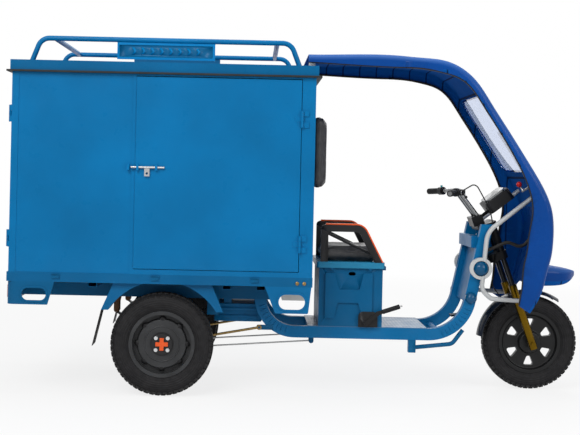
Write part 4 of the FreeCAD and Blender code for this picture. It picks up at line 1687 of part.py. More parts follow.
snug = d("bar_r") + d("clamp_gap")
loose = d("bar_r") + d("throttle_gap")
pod_at = d("grip_len") + d("knuckle_gap") * 2
throttle, spot, to = along_bar(-1, 0, d("grip_len"), d("grip_r"), loose)
node("throttle_grip", solid("throttle_grip_solid", throttle))
left_grip, spot, to = along_bar(1, 0, d("grip_len"), d("grip_r"), snug)
left_pod, spot, to = along_bar(1, pod_at, d("pod_len"), d("pod_r"), snug)
press = (Vec(0, 0, 1) - to * to.z).normalize()
left_pod = left_pod.cut(Part.makeCylinder(d("button_r") + d("button_gap"), d("pod_r") * 2,
                                          spot + press * d("button_well"), press))
node("horn_button", solid("horn_button_solid", Part.makeCylinder(
    d("button_r"), d("pod_r") + d("button_h") - d("button_foot"), spot + press * d("button_foot"), press)))
right_pod, spot, to = along_bar(-1, pod_at, d("pod_len"), d("pod_r"), snug)
pivot = spot + Vec(d("perch_reach"), 0, 0)
gap = d("lever_boss_h") / 2 + d("lever_gap")
for k in (-1, 1):
    z_low = pivot.z + gap if k > 0 else pivot.z - gap - d("perch_t")
    ear = Part.makeBox(d("perch_reach") - d("bar_r") - d("clamp_gap") * 2, 2 * d("lever_boss_r"),
                       d("perch_t"),
                       Vec(spot.x + d("bar_r") + d("clamp_gap") * 2, pivot.y - d("lever_boss_r"), z_low))
    right_pod = right_pod.fuse(ear).fuse(Part.makeCylinder(d("lever_boss_r"), d("perch_t"),
                                                           Vec(pivot.x, pivot.y, z_low), Z_UP))
right_pod = right_pod.fuse(Part.makeCylinder(d("lever_pivot_r"), 2 * gap + d("perch_t"),
                                             pivot - Z_UP * (gap + d("perch_t") / 2), Z_UP))
right_pod = outside(right_pod, bar_tube)
node("switch_pods", group("switch_pods_all", [solid("left_pod", left_pod), solid("right_pod", right_pod),
                                                  solid("left_grip", left_grip)]))
ball = Vec(d("lever_tip_x"), d("lever_tip_y"), d("lever_tip_z"))
to_ball = ball - pivot
hand = Part.makeCylinder(d("lever_boss_r"), d("lever_boss_h"), pivot - Z_UP * (d("lever_boss_h") / 2), Z_UP)
hand = hand.fuse(Part.makeCylinder(d("lever_r"), to_ball.Length, pivot,
                                   to_ball)).fuse(Part.makeSphere(d("lever_ball_r"), ball))
hand = hand.cut(Part.makeCylinder(d("lever_pivot_r") + d("lever_gap"), d("lever_boss_h") * 2,
                                  pivot - Z_UP * d("lever_boss_h"), Z_UP))
node("brake_lever", solid("brake_lever_solid", max(hand.removeSplitter().Solids, key=lambda s: s.Volume)))

# Instrument case tilted to the rider, on an arm from the bar clamp
GAUGE = FreeCAD.Placement(Vec(d("gauge_x"), 0, d("gauge_z")), FreeCAD.Rotation(Y_ON, -d("gauge_tilt")))
gl = d("gauge_len") / 2
gw = d("gauge_w") / 2
gh = d("gauge_h") / 2
flat = wire3(rect(gl, gw, d("gauge_round")), FreeCAD.Placement(Vec(0, 0, -gh), FreeCAD.Rotation()))
case = placed(face_of([flat]).extrude(Vec(0, 0, 2 * gh)), GAUGE)
arm_foot = fork_point(axis_x, 0, upper_top + d("clamp_h") / 2)
arm_head = GAUGE.multVec(Vec(0, 0, -gh / 2))
case = case.fuse(Part.makeCylinder(d("gauge_arm_r"), (arm_head - arm_foot).Length, arm_foot,
                                   arm_head - arm_foot))
case = solid("instrument_case", outside(case.removeSplitter(), NODES["fork_crown"].Shape))
flat = wire3(rect(gl - d("bezel_in"), gw - d("bezel_in"), d("bezel_in")),
             FreeCAD.Placement(Vec(0, 0, gh), FreeCAD.Rotation()))
dial = solid("instrument_face", placed(face_of([flat]).extrude(Vec(0, 0, d("bezel_h"))), GAUGE))
node("instrument", group("instrument_all", [case, dial]))

# Front brake cable from the lever perch down beside the fork
cable = tube(CABLE_LINE, d("cable_r"))
node("brake_cable", solid("brake_cable_solid", outside(cable, right_pod)))

# Wiper: arm and blade outside, crank with a ball knob inside
strap_half = d("wiper_pin_r") * STRAP_SHARE
crank_z = 2 * d("wiper_arm_r") - d("wiper_in")
flat_x = d("knob_rod") - d("knob_r") * FLAT_SHARE
spindle = Part.makeCylinder(d("wiper_pin_r"), d("wiper_in") + d("wiper_out") - d("wiper_arm_t") / 2,
                            Vec(0, 0, -d("wiper_in")), Z_UP)
strap = Part.makeBox(d("wiper_arm_len") + 2 * strap_half, 2 * strap_half, d("wiper_arm_t"),
                     Vec(-2 * strap_half, -strap_half, d("wiper_out") - d("wiper_arm_t")))
blade = Part.makeBox(d("wiper_blade_len"), d("wiper_blade_t"), d("wiper_blade_h"),
                     Vec(d("wiper_blade_x"), -d("wiper_blade_t") / 2,
                         d("wiper_out") - d("wiper_arm_t") - d("wiper_blade_h")))
crank = Part.makeCylinder(d("wiper_arm_r"), flat_x, Vec(0, 0, crank_z), Vec(1, 0, 0))
knob = Part.makeSphere(d("knob_r"), Vec(d("knob_rod"), 0, crank_z))
knob = knob.cut(Part.makeBox(d("knob_r"), 2 * d("knob_r"), 2 * d("knob_r"),
                             Vec(flat_x - d("knob_r"), -d("knob_r"), crank_z - d("knob_r"))))
wiper = spindle.fuse(strap).fuse(blade).fuse(crank).removeSplitter()
node("wiper", group("wiper_all", [solid("wiper_solid", placed(wiper, WIPER)),
                                  solid("wiper_knob", placed(knob, WIPER))]))
bolts = []
for k in range(2):
    screw = rod(f"rail_bolt_{k}", "brass_r", "brass_t", (f"brass_x0 + {k} * brass_pitch", "-bed_half_w",
                                                         "brass_z"), Vec(0, -1, 0))
    bolts.extend([screw, mirrored(f"rail_bolt_left_{k}", screw)])
node("rail_hooks_and_bolts", group("rail_hooks_all", hooks + bolts))

# Check every object, then write one file for each piece
doc.recompute()
for thing in doc.Objects:
    if "Invalid" in thing.State or "Error" in thing.State:
        raise RuntimeError("not built: " + thing.Name)
os.makedirs("parts", exist_ok=True)
for name, thing in NODES.items():
    shape = thing.Shape
    if shape.isNull() or not shape.isValid():
        raise RuntimeError("bad shape: " + name)
    if not shape.Solids:
        raise RuntimeError("no solid: " + name)
    shape.exportStep("parts/" + name + ".step")
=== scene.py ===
import json
import math

import bmesh
import bpy
from bpy.props import FloatProperty, FloatVectorProperty, IntProperty, PointerProperty
from bpy.types import Operator, Panel, PropertyGroup
from mathutils import Matrix, Vector
from mathutils.bvhtree import BVHTree


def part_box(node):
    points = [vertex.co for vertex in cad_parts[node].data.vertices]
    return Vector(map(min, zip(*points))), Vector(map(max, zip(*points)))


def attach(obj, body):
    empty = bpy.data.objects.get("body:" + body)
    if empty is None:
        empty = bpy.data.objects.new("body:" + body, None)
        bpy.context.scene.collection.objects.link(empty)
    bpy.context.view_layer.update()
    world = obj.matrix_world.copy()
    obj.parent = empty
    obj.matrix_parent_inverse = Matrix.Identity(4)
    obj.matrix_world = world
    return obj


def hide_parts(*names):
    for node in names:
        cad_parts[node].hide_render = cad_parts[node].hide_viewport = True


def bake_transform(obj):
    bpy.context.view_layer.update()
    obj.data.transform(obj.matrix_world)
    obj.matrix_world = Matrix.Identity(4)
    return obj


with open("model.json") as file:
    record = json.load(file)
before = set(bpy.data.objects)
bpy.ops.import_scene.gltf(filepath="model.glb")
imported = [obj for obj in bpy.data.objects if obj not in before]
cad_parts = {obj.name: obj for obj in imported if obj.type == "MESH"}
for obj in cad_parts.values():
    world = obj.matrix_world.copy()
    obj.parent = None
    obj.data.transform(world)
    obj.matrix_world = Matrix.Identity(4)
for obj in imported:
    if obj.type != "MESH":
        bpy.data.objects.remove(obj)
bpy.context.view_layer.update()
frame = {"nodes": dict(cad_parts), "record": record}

bl_info = {
    "name": "Cargo tricycle",
    "version": (1, 0, 0),
    "blender": (4, 5, 0),
    "location": "View3D > Sidebar > Tricycle",
    "description": "Dresses an electric cargo tricycle",
    "category": "Object",
}

NODES = frame["nodes"]
BODY_OF = {node: body for body, nodes in frame["record"]["behaviour"]["bodies"].items() for node in nodes}

# Points of a mesh, and of a cut through one, that lie closer than this are one point
MERGE = 1e-6
CUT_MERGE = 1e-7
# Edges that bend by more than this stay sharp, in degrees: on sheets, round forms, pads and pressings
SHEET_ANGLE = 32
ROUND_ANGLE = 60
PAD_ANGLE = 80
PRESSED_ANGLE = 9

# What tells the solids of one node apart: a length, a height or a place
SHACKLE_LONG = 0.03
SHACKLE_HIGH = 0.1
BOLT_SIZE = 0.02
FLAP_TOP = 0.43
BLACK_BRACKET = (0.25, 0.42)
PLATE_THICK = 0.01
PLATE_LONG = 0.4
KNOB_SIZE = 0.045
ARM_EDGING_FRONT = 0.42
GRIP_LONG = 0.09
DIAL_WIDE = 0.17

# Half distance between the sunk faces of the two rack plates
RACK_WELL = 0.4015
# Ribs of the long beams: distance from the centre line, and for each bend its name, the first and last
# angle in degrees, its middle and its radius
RIB_SIDE = 0.215
RIB_BENDS = (("front", -70, -22, (0.6647, 0.524), 0.222), ("rear", 196, 256, (-0.03, 0.484), 0.176))

# Rear stretch of the cab roof: where it starts and joins the bend, its height and wing edge at the start
ROOF_START = 0.008
ROOF_CUT = 0.5
ROOF_HEIGHT = 1.736
ROOF_EDGE = 1.696
ROOF_EDGE_SLOPE = -0.03
ROOF_STEPS = 24
# Probes of the bend: distance for its slope, place beside the centre line, and starts above and below
PROBE_STEP = 0.02
PROBE_SIDE = 0.01
PROBE_ABOVE = 3
PROBE_BELOW = 1.4
# Section of the cab sheet: half width, thickness and corner radius
CAB_HALF = 0.365
CAB_SHEET = 0.004
CAB_CORNER = 0.034
CORNER_STEPS = 8
# Edging on the inside of the wings: its middle from the centre line, half thickness and corner
EDGING_SIDE = 0.356
EDGING_HALF = 0.005
EDGING_CORNER = 0.003
# Spacing of the ribs moulded into the inside of the cab, and half their share of it
CAB_RIB_STEP = 0.095
CAB_RIB_SHARE = 0.04
# Rear feet of the cab: they lie behind and above these places, and end this far below the roof sheet
FOOT_FRONT = 0.1
FOOT_LOW = 1.6
FOOT_GAP = 0.001

# Ring of dimples in the rear discs: its radius, half size of one, and its middle from the centre line
DIMPLE_RING = 0.122
DIMPLE_HALF = (0.017, 0.017, 0.0088)
DIMPLE_SIDE = 0.418
# Pressed bead on the same discs: its radius, half its thickness and its middle from the centre line
BEAD_RING = 0.088
BEAD_HALF = 0.0045
BEAD_SIDE = 0.4252
# Rear hub: distance from the centre line and radius of cover and cross, half width of an arm of the cross,
# and place and radius of the nuts
COVER_SIDE = 0.4227
COVER_REACH = 0.06
CROSS_SIDE = 0.4415
CROSS_REACH = 0.045
CROSS_HALF = 0.0145
NUT_PLACE = 0.0297
NUT_REACH = 0.0095
# Tyres: spacing of the rings on the wall, and depths below the crown where wall and worn tread begin and end
WALL_RING = 0.011
WALL_DEPTH = (0.03, 0.022)
WORN_DEPTH = (0.012, 0.002)
# Rows of tread blocks: share of the half width, steps down, share of the spacing and lean; then how far
# all blocks are sunk and how far those of the side rows are tilted
TREAD_ROWS = ((0.34, 0, 0.0, 0.3), (-0.34, 0, 0.5, -0.3), (0.7, 1, 0.25, -0.2), (-0.7, 1, 0.75, 0.2))
TREAD_SINK = 0.0005
SHOULDER_ROLL = 0.42

# Tray slung under the front of the bed: its corners, lip, side ribs, hangers along x and their bolts, and
# the underside that the hangers meet
TRAY_LOW = Vector((-0.45, -0.17, 0.345))
TRAY_HIGH = Vector((-0.2, 0.17, 0.44))
TRAY_ROUND = 0.008
TRAY_EDGE_ROUND = 0.003
LIP_OUT = Vector((0.006, 0.004, 0))
LIP_HIGH = 0.012
LIP_OVERLAP = Vector((0, 0, 0.006))
TRAY_RIBS = (0.3, 0.7)
TRAY_RIB_HALF = Vector((0, 0.004, 0.007))
TRAY_RIB_INSET = 0.025
TRAY_HANGERS = ((-0.4, -0.36), (-0.23, -0.19))
HANGER_INSET = 0.006
HANGER_HALF = 0.002
HANGER_ROUND = 0.001
HANGER_LAP = 0.03
BOLT_REACH = 0.009
BOLT_LONG = 0.008
BED_UNDERSIDE = 0.54

# Seat barrel: what lies within a band below this distance from the centre line is sunk behind the pressing
BARREL_FIELD = 0.2245
BARREL_BAND = 0.005
BARREL_SINK = 0.006
# Pads: pressure and frames of the simulation, place of the seam along the thin side, its width and depth
PAD_PRESSURE = 4
PAD_FRAMES = 20
SEAM_SHARE = 0.62
SEAM_WIDE = 0.0045
SEAM_DEEP = 0.003

# Middle part of a noise, which is stretched over the span of a value
NOISE_SPAN = (0.3, 0.7)
# Road dust, and the heights between which it fades
DUST = (0.2, 0.19, 0.17)
DUST_SPAN = (0.2, 0.75)
# Spacing of the marks on chequered sheet
CHEQUER_PITCH = 0.036
WHITE = (1, 1, 1)

# Floor and the distances between which it fades into white, soft light of the world, and lamps
FLOOR_HALF = 30
FLOOR_DROP = 0.002
FLOOR_FADE = (2.0, 7.0)
WORLD_LIGHT = 0.28
LAMP_AIM = Vector((0, 0, 0.8))
LAMPS = (("key", (-2.2, -4.2, 4.2), 3.0, 190), ("fill", (3.6, -3.4, 2.6), 2.4, 70),
         ("back", (1.5, 4.0, 3.6), 3.0, 70), ("top", (0.2, 0.0, 5.2), 3.2, 80))
# Sensor of the camera, in millimetres
SENSOR_WIDTH = 36


# Sizes and colours that a user would change
def colour(name, text, value):
    return FloatVectorProperty(name=name, description=text, subtype="COLOR", size=3, min=0, max=1,
                               default=value)


def length(name, text, value):
    return FloatProperty(name=name, description=text, unit="LENGTH", default=value)


class PaintSettings(PropertyGroup):
    box_blue: colour("Box blue", "Paint of the cargo box and bed", (0.0005, 0.142, 0.35))
    frame_blue: colour("Frame blue", "Paint of the frame and seat barrel", (0.0005, 0.098, 0.235))
    cab_blue: colour("Cab blue", "Moulded cab shell", (0.0005, 0.05, 0.25))
    lid_blue: colour("Lid blue", "Seat lid edge", (0.02, 0.215, 0.38))
    wheel_grey: colour("Wheel grey", "Pressed rims", (0.034, 0.035, 0.037))
    cover_orange: colour("Orange", "Hub cross and armrest edging", (0.75, 0.1, 0.02))
    fork_gold: colour("Fork gold", "Anodised fork legs", (0.13, 0.075, 0.006))


class TreadSettings(PropertyGroup):
    count: IntProperty(name="Blocks", description="Tread blocks round each tyre", default=54, min=8)
    block_len: length("Length", "Length of one block round the tyre", 0.021)
    block_wide: length("Width", "Width of one block across the tyre", 0.026)
    block_high: length("Height", "Height of one block", 0.007)
    shoulder: length("Shoulder", "How far the side row lies below the crown", 0.0075)


class RibSettings(PropertyGroup):
    count: IntProperty(name="Ribs", description="Pressed ribs on each bend", default=9, min=2)
    rib_len: length("Length", "Length of one rib", 0.036)
    rib_wide: length("Width", "Width of one rib", 0.009)
    rib_high: length("Height", "Height of one rib", 0.005)


class PadSettings(PropertyGroup):
    voxel: length("Voxel", "Remesh size of the padded pieces", 0.006)
    shrink: length("Inset", "How much smaller a pad starts before it swells", 0.012)
    reach: length("Reach", "Most that a point of a pad may move", 0.016)


class StageSettings(PropertyGroup):
    lens: FloatProperty(name="Lens", description="Focal length in millimetres", default=70.57)
    eye: FloatVectorProperty(name="Eye", description="Place of the camera", subtype="TRANSLATION", size=3,
                             default=(-0.252, -6.131, 1.13))
    roll: FloatProperty(name="Roll", description="Turn of the camera about its line of sight",
                        subtype="ANGLE", default=math.radians(1.27))
    shift: FloatVectorProperty(name="Shift", description="Lens shift that frames the photograph", size=2,
                               default=(0.0603, -0.0784))


def settings():
    return bpy.context.scene.tricycle


# Shader sockets as plain expressions
class Value:
    def __init__(self, owner, socket):
        self.owner = owner
        self.socket = socket

    def math(self, operation, *others):
        sockets = dict(enumerate((self,) + others))
        return self.owner.node("ShaderNodeMath", sockets, operation=operation)[0]

    def __add__(self, other):
        return self.math("ADD", other)

    def __radd__(self, other):
        return self + other

    def __sub__(self, other):
        return self.math("SUBTRACT", other)

    def __rsub__(self, other):
        return self * -1 + other

    def __mul__(self, other):
        return self.math("MULTIPLY", other)

    def __rmul__(self, other):
        return self * other

    def __gt__(self, other):
        return self.math("GREATER_THAN", other)

    def __lt__(self, other):
        return self.math("LESS_THAN", other)

    def both(self, other):
        return self.math("MINIMUM", other)

    def either(self, other):
        return self.math("MAXIMUM", other)

    def size(self):
        return self.math("ABSOLUTE")


class Made:
    # The outputs of one node, by number or name
    def __init__(self, owner, node):
        self.owner = owner
        self.made = node

    def __getitem__(self, key):
        return Value(self.owner, self.made.outputs[key])


class Shader:
    # A tree of shader nodes
    def __init__(self, tree):
        self.tree = tree

    def node(self, kind, sockets, **settings):
        made = self.tree.nodes.new(kind)
        for key, value in settings.items():
            setattr(made, key, value)
        for key, value in sockets.items():
            self.put(made.inputs[key], value)
        return Made(self, made)

    def put(self, socket, value):
        if isinstance(value, Value):
            self.tree.links.new(value.socket, socket)
        elif isinstance(value, tuple) and len(value) == 3 and socket.type == "RGBA":
            socket.default_value = value + (1,)
        else:
            socket.default_value = value

    def seen(self):
        # One for rays that reach the eye straight, mirrored or through glass
        path = self.node("ShaderNodeLightPath", {})
        return path["Is Camera Ray"].either(path["Is Glossy Ray"]).either(path["Is Transmission Ray"])

    def surface(self, output, share, below, above):
        # Mixes two shaders into the output of the tree
        both = self.node("ShaderNodeMixShader", {0: share, 1: below, 2: above})
        self.put(self.tree.nodes[output].inputs["Surface"], both[0])


class Finish(Shader):
    # A material round one principled shader
    def __init__(self, name, **fixed):
        self.material = bpy.data.materials.new(name)
        self.material.use_nodes = True
        super().__init__(self.material.node_tree)
        self.principled = self.tree.nodes["Principled BSDF"]
        self.places = None
        self.set(**fixed)

    def set(self, **sockets):
        for key, value in sockets.items():
            self.put(self.principled.inputs[key.replace("_", " ")], value)

    def at(self, name="Object"):
        if self.places is None:
            self.places = self.node("ShaderNodeTexCoord", {})
        return self.places[name]

    def split(self, vector):
        parts = self.node("ShaderNodeSeparateXYZ", {0: vector})
        return parts[0], parts[1], parts[2]

    def axes(self):
        return self.split(self.at())

    def facing(self):
        return self.split(self.at("Normal"))

    def noise(self, scale, detail, rough=0.5):
        return self.node("ShaderNodeTexNoise", {
            "Vector": self.at(), "Scale": scale, "Detail": detail, "Roughness": rough})["Fac"]

    def cells(self, scale, feature="F1"):
        return self.node("ShaderNodeTexVoronoi", {"Vector": self.at(), "Scale": scale},
                         feature=feature)["Distance"]

    def span(self, value, low, high, to_low, to_high):
        sockets = dict(enumerate((value, low, high, to_low, to_high)))
        return self.node("ShaderNodeMapRange", sockets, clamp=True)[0]

    def mix(self, mask, below, above):
        return self.node("ShaderNodeMix", {0: mask, 6: below, 7: above}, data_type="RGBA")[2]

    def bump(self, height, strength, distance):
        return self.node("ShaderNodeBump", {
            "Strength": strength, "Distance": distance, "Height": height})[0]

    def cloud(self, scale, detail, low=0, high=1):
        # Noise that runs between two values
        return self.span(self.noise(scale, detail), *NOISE_SPAN, low, high)

    def tones(self, scale, detail, rgb, dark, light):
        # Clouds of a darker and a lighter shade of one colour
        return self.mix(self.cloud(scale, detail), shade(rgb, dark), shade(rgb, light))


def shade(rgb, factor):
    return tuple(min(1, c * factor) for c in rgb)


def distance(across, up):
    return (across * across + up * up).math("SQRT")


def paint(name, rgb, rough, coat, peel=0.25, dust=0.06):
    # Sprayed paint: soft cloudiness, fine orange peel and a little road dust low down
    made = Finish(name, Coat_Weight=coat, Coat_Roughness=0.06, Specular_IOR_Level=0.09)
    height = made.axes()[2]
    low = made.span(height, *DUST_SPAN, dust, 0) * made.span(made.noise(9, 5), 0.35, 0.7, 0.2, 1)
    made.set(Base_Color=made.mix(low, made.tones(2.2, 4, rgb, 0.86, 1.12), DUST))
    made.set(Roughness=made.cloud(14, 4, rough - 0.05, rough + 0.09) + low)
    made.set(Normal=made.bump(made.noise(190, 2), peel, 0.0005))
    return made


def metal(name, rgb, rough):
    # Metal whose fine grain changes its gloss
    made = Finish(name, Metallic=1.0)
    grain = made.noise(60, 4)
    made.set(Base_Color=made.tones(8, 4, rgb, 0.8, 1.08), Normal=made.bump(grain, 0.08, 0.0004))
    made.set(Roughness=made.span(grain, *NOISE_SPAN, rough - 0.07, rough + 0.09))
    return made


def plastic(name, rgb, rough, grain=260):
    # Moulded plastic or rubber with a fine grain
    made = Finish(name, Specular_IOR_Level=0.25)
    made.set(Base_Color=made.tones(6, 3, rgb, 0.82, 1.16))
    made.set(Roughness=made.cloud(18, 3, rough - 0.06, rough + 0.1))
    made.set(Normal=made.bump(made.noise(grain, 2), 0.16, 0.0005))
    return made


def cab_gelcoat(name, rgb):
    # Glossy moulded sheet, dull and ribbed on its inside with painted shade along the ribs; where it faces up
    # it has a painted sheen and is duller
    made = Finish(name, Coat_Roughness=0.08, Specular_IOR_Level=0.08)
    x, y, _ = made.axes()
    _, ny, nz = made.facing()
    inside = ((ny * y) < -0.08).either(nz < -0.25)
    place = ((x * (1 / CAB_RIB_STEP)).math("FRACT") - 0.5).size()
    lines = (place < CAB_RIB_SHARE) * inside
    outer = made.tones(2.6, 4, rgb, 0.85, 1.15)
    # Painted sheen: faces that point up are mixed towards a lighter blue, standing in for reflected sky
    outer = made.mix(made.span(nz, 0.1, 0.8, 0, 0.5), outer, (0.08, 0.2, 0.52))
    # Painted shade: the rib lines on the inside are much darker than the sheet between them
    inner = made.mix(lines, (0.002, 0.082, 0.34), (0.001, 0.02, 0.085))
    made.set(Base_Color=made.mix(inside, outer, inner))
    dull = inside * 0.62 + made.span(nz, 0.3, 0.9, 0, 0.34)
    made.set(Roughness=made.cloud(11, 3, 0.24, 0.34) + dull)
    made.set(Coat_Weight=made.span(nz, 0.3, 0.8, 0.08, 0.02) * (1 - inside))
    made.set(Normal=made.bump(lines * -0.5 + made.noise(120, 2) * 0.012, 0.4, 0.006))
    return made


def tyre_rubber(name, node):
    # Rubber with moulded rings on its side walls, dusty on the tread
    middle = wheel_place(node)
    low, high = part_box(node)
    outer = (high.z - low.z) / 2
    made = Finish(name, IOR=1.45, Specular_IOR_Level=0.18)
    x, _, z = made.axes()
    reach = distance(x - middle.x, z - middle.z)
    rings = (reach * (2 * math.pi / WALL_RING)).math("SINE")
    wall = made.span(reach, *(outer - depth for depth in WALL_DEPTH), 1, 0)
    worn = made.span(reach, *(outer - depth for depth in WORN_DEPTH), 0, 1) * made.cloud(30, 4, 0.3)
    tone = made.mix(made.cloud(40, 4), (0.0105, 0.0102, 0.0112), (0.019, 0.0185, 0.0195))
    made.set(Base_Color=made.mix(worn * 0.5, tone, (0.034, 0.032, 0.03)))
    made.set(Roughness=made.cloud(25, 3, 0.55, 0.72))
    made.set(Normal=made.bump(rings * wall * 0.7 + made.noise(300, 2) * 0.4, 0.5, 0.002))
    return made


def rim_paint(name, node, dressed):
    # Dark wheel paint; the rear wheels carry an orange cross and bright nuts on their hub covers
    middle = wheel_place(node)
    colours = settings().paint
    made = Finish(name, Coat_Weight=0.05, Coat_Roughness=0.15, Specular_IOR_Level=0.2)
    x, y, z = made.axes()
    tone = made.tones(12, 4, shade(colours.wheel_grey, 1.0 if dressed else 0.25), 0.75, 1.25)
    rough = made.cloud(22, 3, 0.34, 0.48)
    metal_share = 0.0
    if dressed:
        out = y.size()
        across = x - middle.x
        up = z - middle.z
        reach = distance(across, up)
        cover = (out > COVER_SIDE).both(reach < COVER_REACH)
        arms = (across.size() < CROSS_HALF).either(up.size() < CROSS_HALF)
        cross = (out > CROSS_SIDE).both(reach < CROSS_REACH).both(arms)
        nuts = (distance(across.size() - NUT_PLACE, up.size() - NUT_PLACE) < NUT_REACH).both(cover)
        tone = made.mix(cover, tone, (0.018, 0.018, 0.019))
        tone = made.mix(nuts, tone, (0.62, 0.63, 0.64))
        tone = made.mix(cross, tone, tuple(colours.cover_orange))
        metal_share = nuts * (1 - cross)
        rough = rough - metal_share * 0.15
    made.set(Base_Color=tone, Roughness=rough, Metallic=metal_share)
    made.set(Normal=made.bump(made.noise(240, 2), 0.16, 0.0005))
    return made


def black_leather(name):
    # Embossed upholstery with fine grain and soft creases, with painted shade in the hollows of the creases
    made = Finish(name, IOR=1.48)
    grain = made.cells(420, "DISTANCE_TO_EDGE")
    creases = made.noise(26, 6, 0.65)
    crease_shade = made.span(creases, 0.35, 0.65, 0, 1)
    # Painted shade: the colour is darker where the creases sink
    made.set(Base_Color=made.mix(crease_shade, (0.02, 0.02, 0.022), (0.044, 0.043, 0.045)))
    made.set(Roughness=made.cloud(60, 3, 0.38, 0.56))
    made.set(Normal=made.bump(made.span(grain, 0, 0.2, 0, 0.3) + creases * 0.9, 0.35, 0.003))
    return made


def chequer_plate(name, rgb):
    # Raised tread marks pressed into a sheet floor
    made = Finish(name, Coat_Weight=0.2)
    x, y, _ = made.axes()
    waves = [(way * (2 * math.pi / CHEQUER_PITCH)).math("SINE") for way in (x + y, x - y)]
    marks = made.span(waves[0] * waves[1], 0.35, 0.6, 0, 1) * (made.facing()[2] > 0.9)
    made.set(Base_Color=made.mix(marks * 0.35, made.tones(7, 5, rgb, 0.8, 1.15), (0.5, 0.52, 0.55)))
    made.set(Roughness=made.cloud(20, 4, 0.34, 0.55), Normal=made.bump(marks, 0.5, 0.0015))
    return made


def plate_paint(name, rgb):
    # Pressed plate of the rack: its sunk well is painted darker than its border and its raised arrows, as
    # shade
    made = paint(name, rgb, 0.3, 0.06)
    well_shade = made.axes()[1].size() < RACK_WELL
    # Painted shade: the sunk well is much darker than the border and raised arrows
    made.set(Base_Color=made.mix(well_shade, shade(rgb, 1.4), (0.004, 0.115, 0.265)))
    return made


def screen_glass(name):
    # Faintly blue sheet with a trace of smear
    made = Finish(name, Transmission_Weight=1.0, IOR=1.45)
    smear = made.span(made.noise(9, 5), 0.45, 0.75, 0, 1)
    made.set(Base_Color=made.mix(smear, (0.47, 0.56, 0.78), (0.52, 0.6, 0.8)))
    made.set(Roughness=made.span(smear, 0, 1, 0.0, 0.015))
    return made


def lamp_lens(name, rgb):
    # Moulded lens with prisms
    made = Finish(name, IOR=1.5, Coat_Weight=0.8, Coat_Roughness=0.03)
    prisms = made.cells(160)
    made.set(Base_Color=made.mix(made.span(prisms, 0.1, 0.6, 0, 1), shade(rgb, 1.2), shade(rgb, 0.55)))
    made.set(Roughness=made.span(prisms, 0, 0.6, 0.1, 0.25), Normal=made.bump(prisms, 0.5, 0.002))
    return made


# Finishes by name, each made when it is first asked for
RECIPES = {
    "box_paint": lambda name, p: paint(name, p.box_blue, 0.3, 0.06),
    "roof_paint": lambda name, p: paint(name, shade(p.box_blue, 0.74), 0.3, 0.06),
    "frame_paint": lambda name, p: paint(name, p.frame_blue, 0.42, 0.03),
    "beam_paint": lambda name, p: paint(name, shade(p.box_blue, 0.92), 0.36, 0.05),
    "lid_paint": lambda name, p: paint(name, p.lid_blue, 0.26, 0.12),
    "dome_paint": lambda name, p: paint(name, shade(p.box_blue, 0.5), 0.14, 0.3, peel=0.08),
    "guard_navy": lambda name, p: paint(name, (0.014, 0.019, 0.032), 0.26, 0.3),
    "black_paint": lambda name, p: paint(name, (0.012, 0.012, 0.013), 0.36, 0.08, dust=0.05),
    "fork_black": lambda name, p: paint(name, (0.01, 0.01, 0.011), 0.18, 0.5, peel=0.08),
    "shackle_brown": lambda name, p: paint(name, (0.115, 0.058, 0.03), 0.5, 0.0, peel=0.5),
    "pale_enamel": lambda name, p: paint(name, (0.5, 0.51, 0.51), 0.28, 0.3, dust=0.03),
    "orange_trim": lambda name, p: paint(name, p.cover_orange, 0.34, 0.08, dust=0.0),
    "gold_alloy": lambda name, p: metal(name, p.fork_gold, 0.26),
    "brass_plate": lambda name, p: metal(name, (0.27, 0.185, 0.075), 0.46),
    "smoked_chrome": lambda name, p: metal(name, (0.2, 0.205, 0.21), 0.16),
    "bare_steel": lambda name, p: metal(name, (0.42, 0.42, 0.42), 0.36),
    # Black that stands in for the shade in the dimples of the rear discs
    "dimple_black": lambda name, p: plastic(name, (0.008, 0.008, 0.009), 0.5),
    "black_plastic": lambda name, p: plastic(name, (0.012, 0.012, 0.013), 0.42),
    "grip_rubber": lambda name, p: plastic(name, (0.009, 0.009, 0.009), 0.66, 180),
    "trim_rubber": lambda name, p: plastic(name, (0.016, 0.015, 0.014), 0.55, 140),
    "red_knob": lambda name, p: plastic(name, (0.62, 0.018, 0.02), 0.25),
    "cyan_button": lambda name, p: plastic(name, (0.02, 0.4, 0.42), 0.32),
    "battery_case": lambda name, p: plastic(name, (0.03, 0.03, 0.034), 0.5),
    "red_lens": lambda name, p: lamp_lens(name, (0.5, 0.012, 0.01)),
    "screen_glass": lambda name, p: screen_glass(name),
    "plate_paint": lambda name, p: plate_paint(name, p.box_blue),
    "cab_gelcoat": lambda name, p: cab_gelcoat(name, p.cab_blue),
    "black_leather": lambda name, p: black_leather(name),
    "bed_plate": lambda name, p: chequer_plate(name, (0.16, 0.165, 0.17)),
    "foot_plate": lambda name, p: chequer_plate(name, (0.03, 0.13, 0.26)),
}
READY = {}


def finish(name):
    if name not in READY:
        READY[name] = RECIPES[name](name, settings().paint)
    return READY[name]


# Pieces from the nodes of the pack and from new forms
def wheel_place(node):
    low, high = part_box(node)
    return (Vector(low) + Vector(high)) / 2


def dress(coat, *names):
    for name in names:
        materials = NODES[name].data.materials
        materials.clear()
        materials.append(coat.material)


def link(name, data):
    piece = bpy.data.objects.new(name, data)
    bpy.context.collection.objects.link(piece)
    return piece


def soften(piece, angle):
    for face in piece.data.polygons:
        face.use_smooth = True
    piece.data.set_sharp_from_angle(angle=math.radians(angle))


def formed(form, name, *coats, angle=SHEET_ANGLE):
    # Makes a piece of a form, and frees the form
    mesh = bpy.data.meshes.new(name)
    for coat in coats:
        mesh.materials.append(coat.material)
    form.to_mesh(mesh)
    form.free()
    piece = link(name, mesh)
    soften(piece, angle)
    return piece


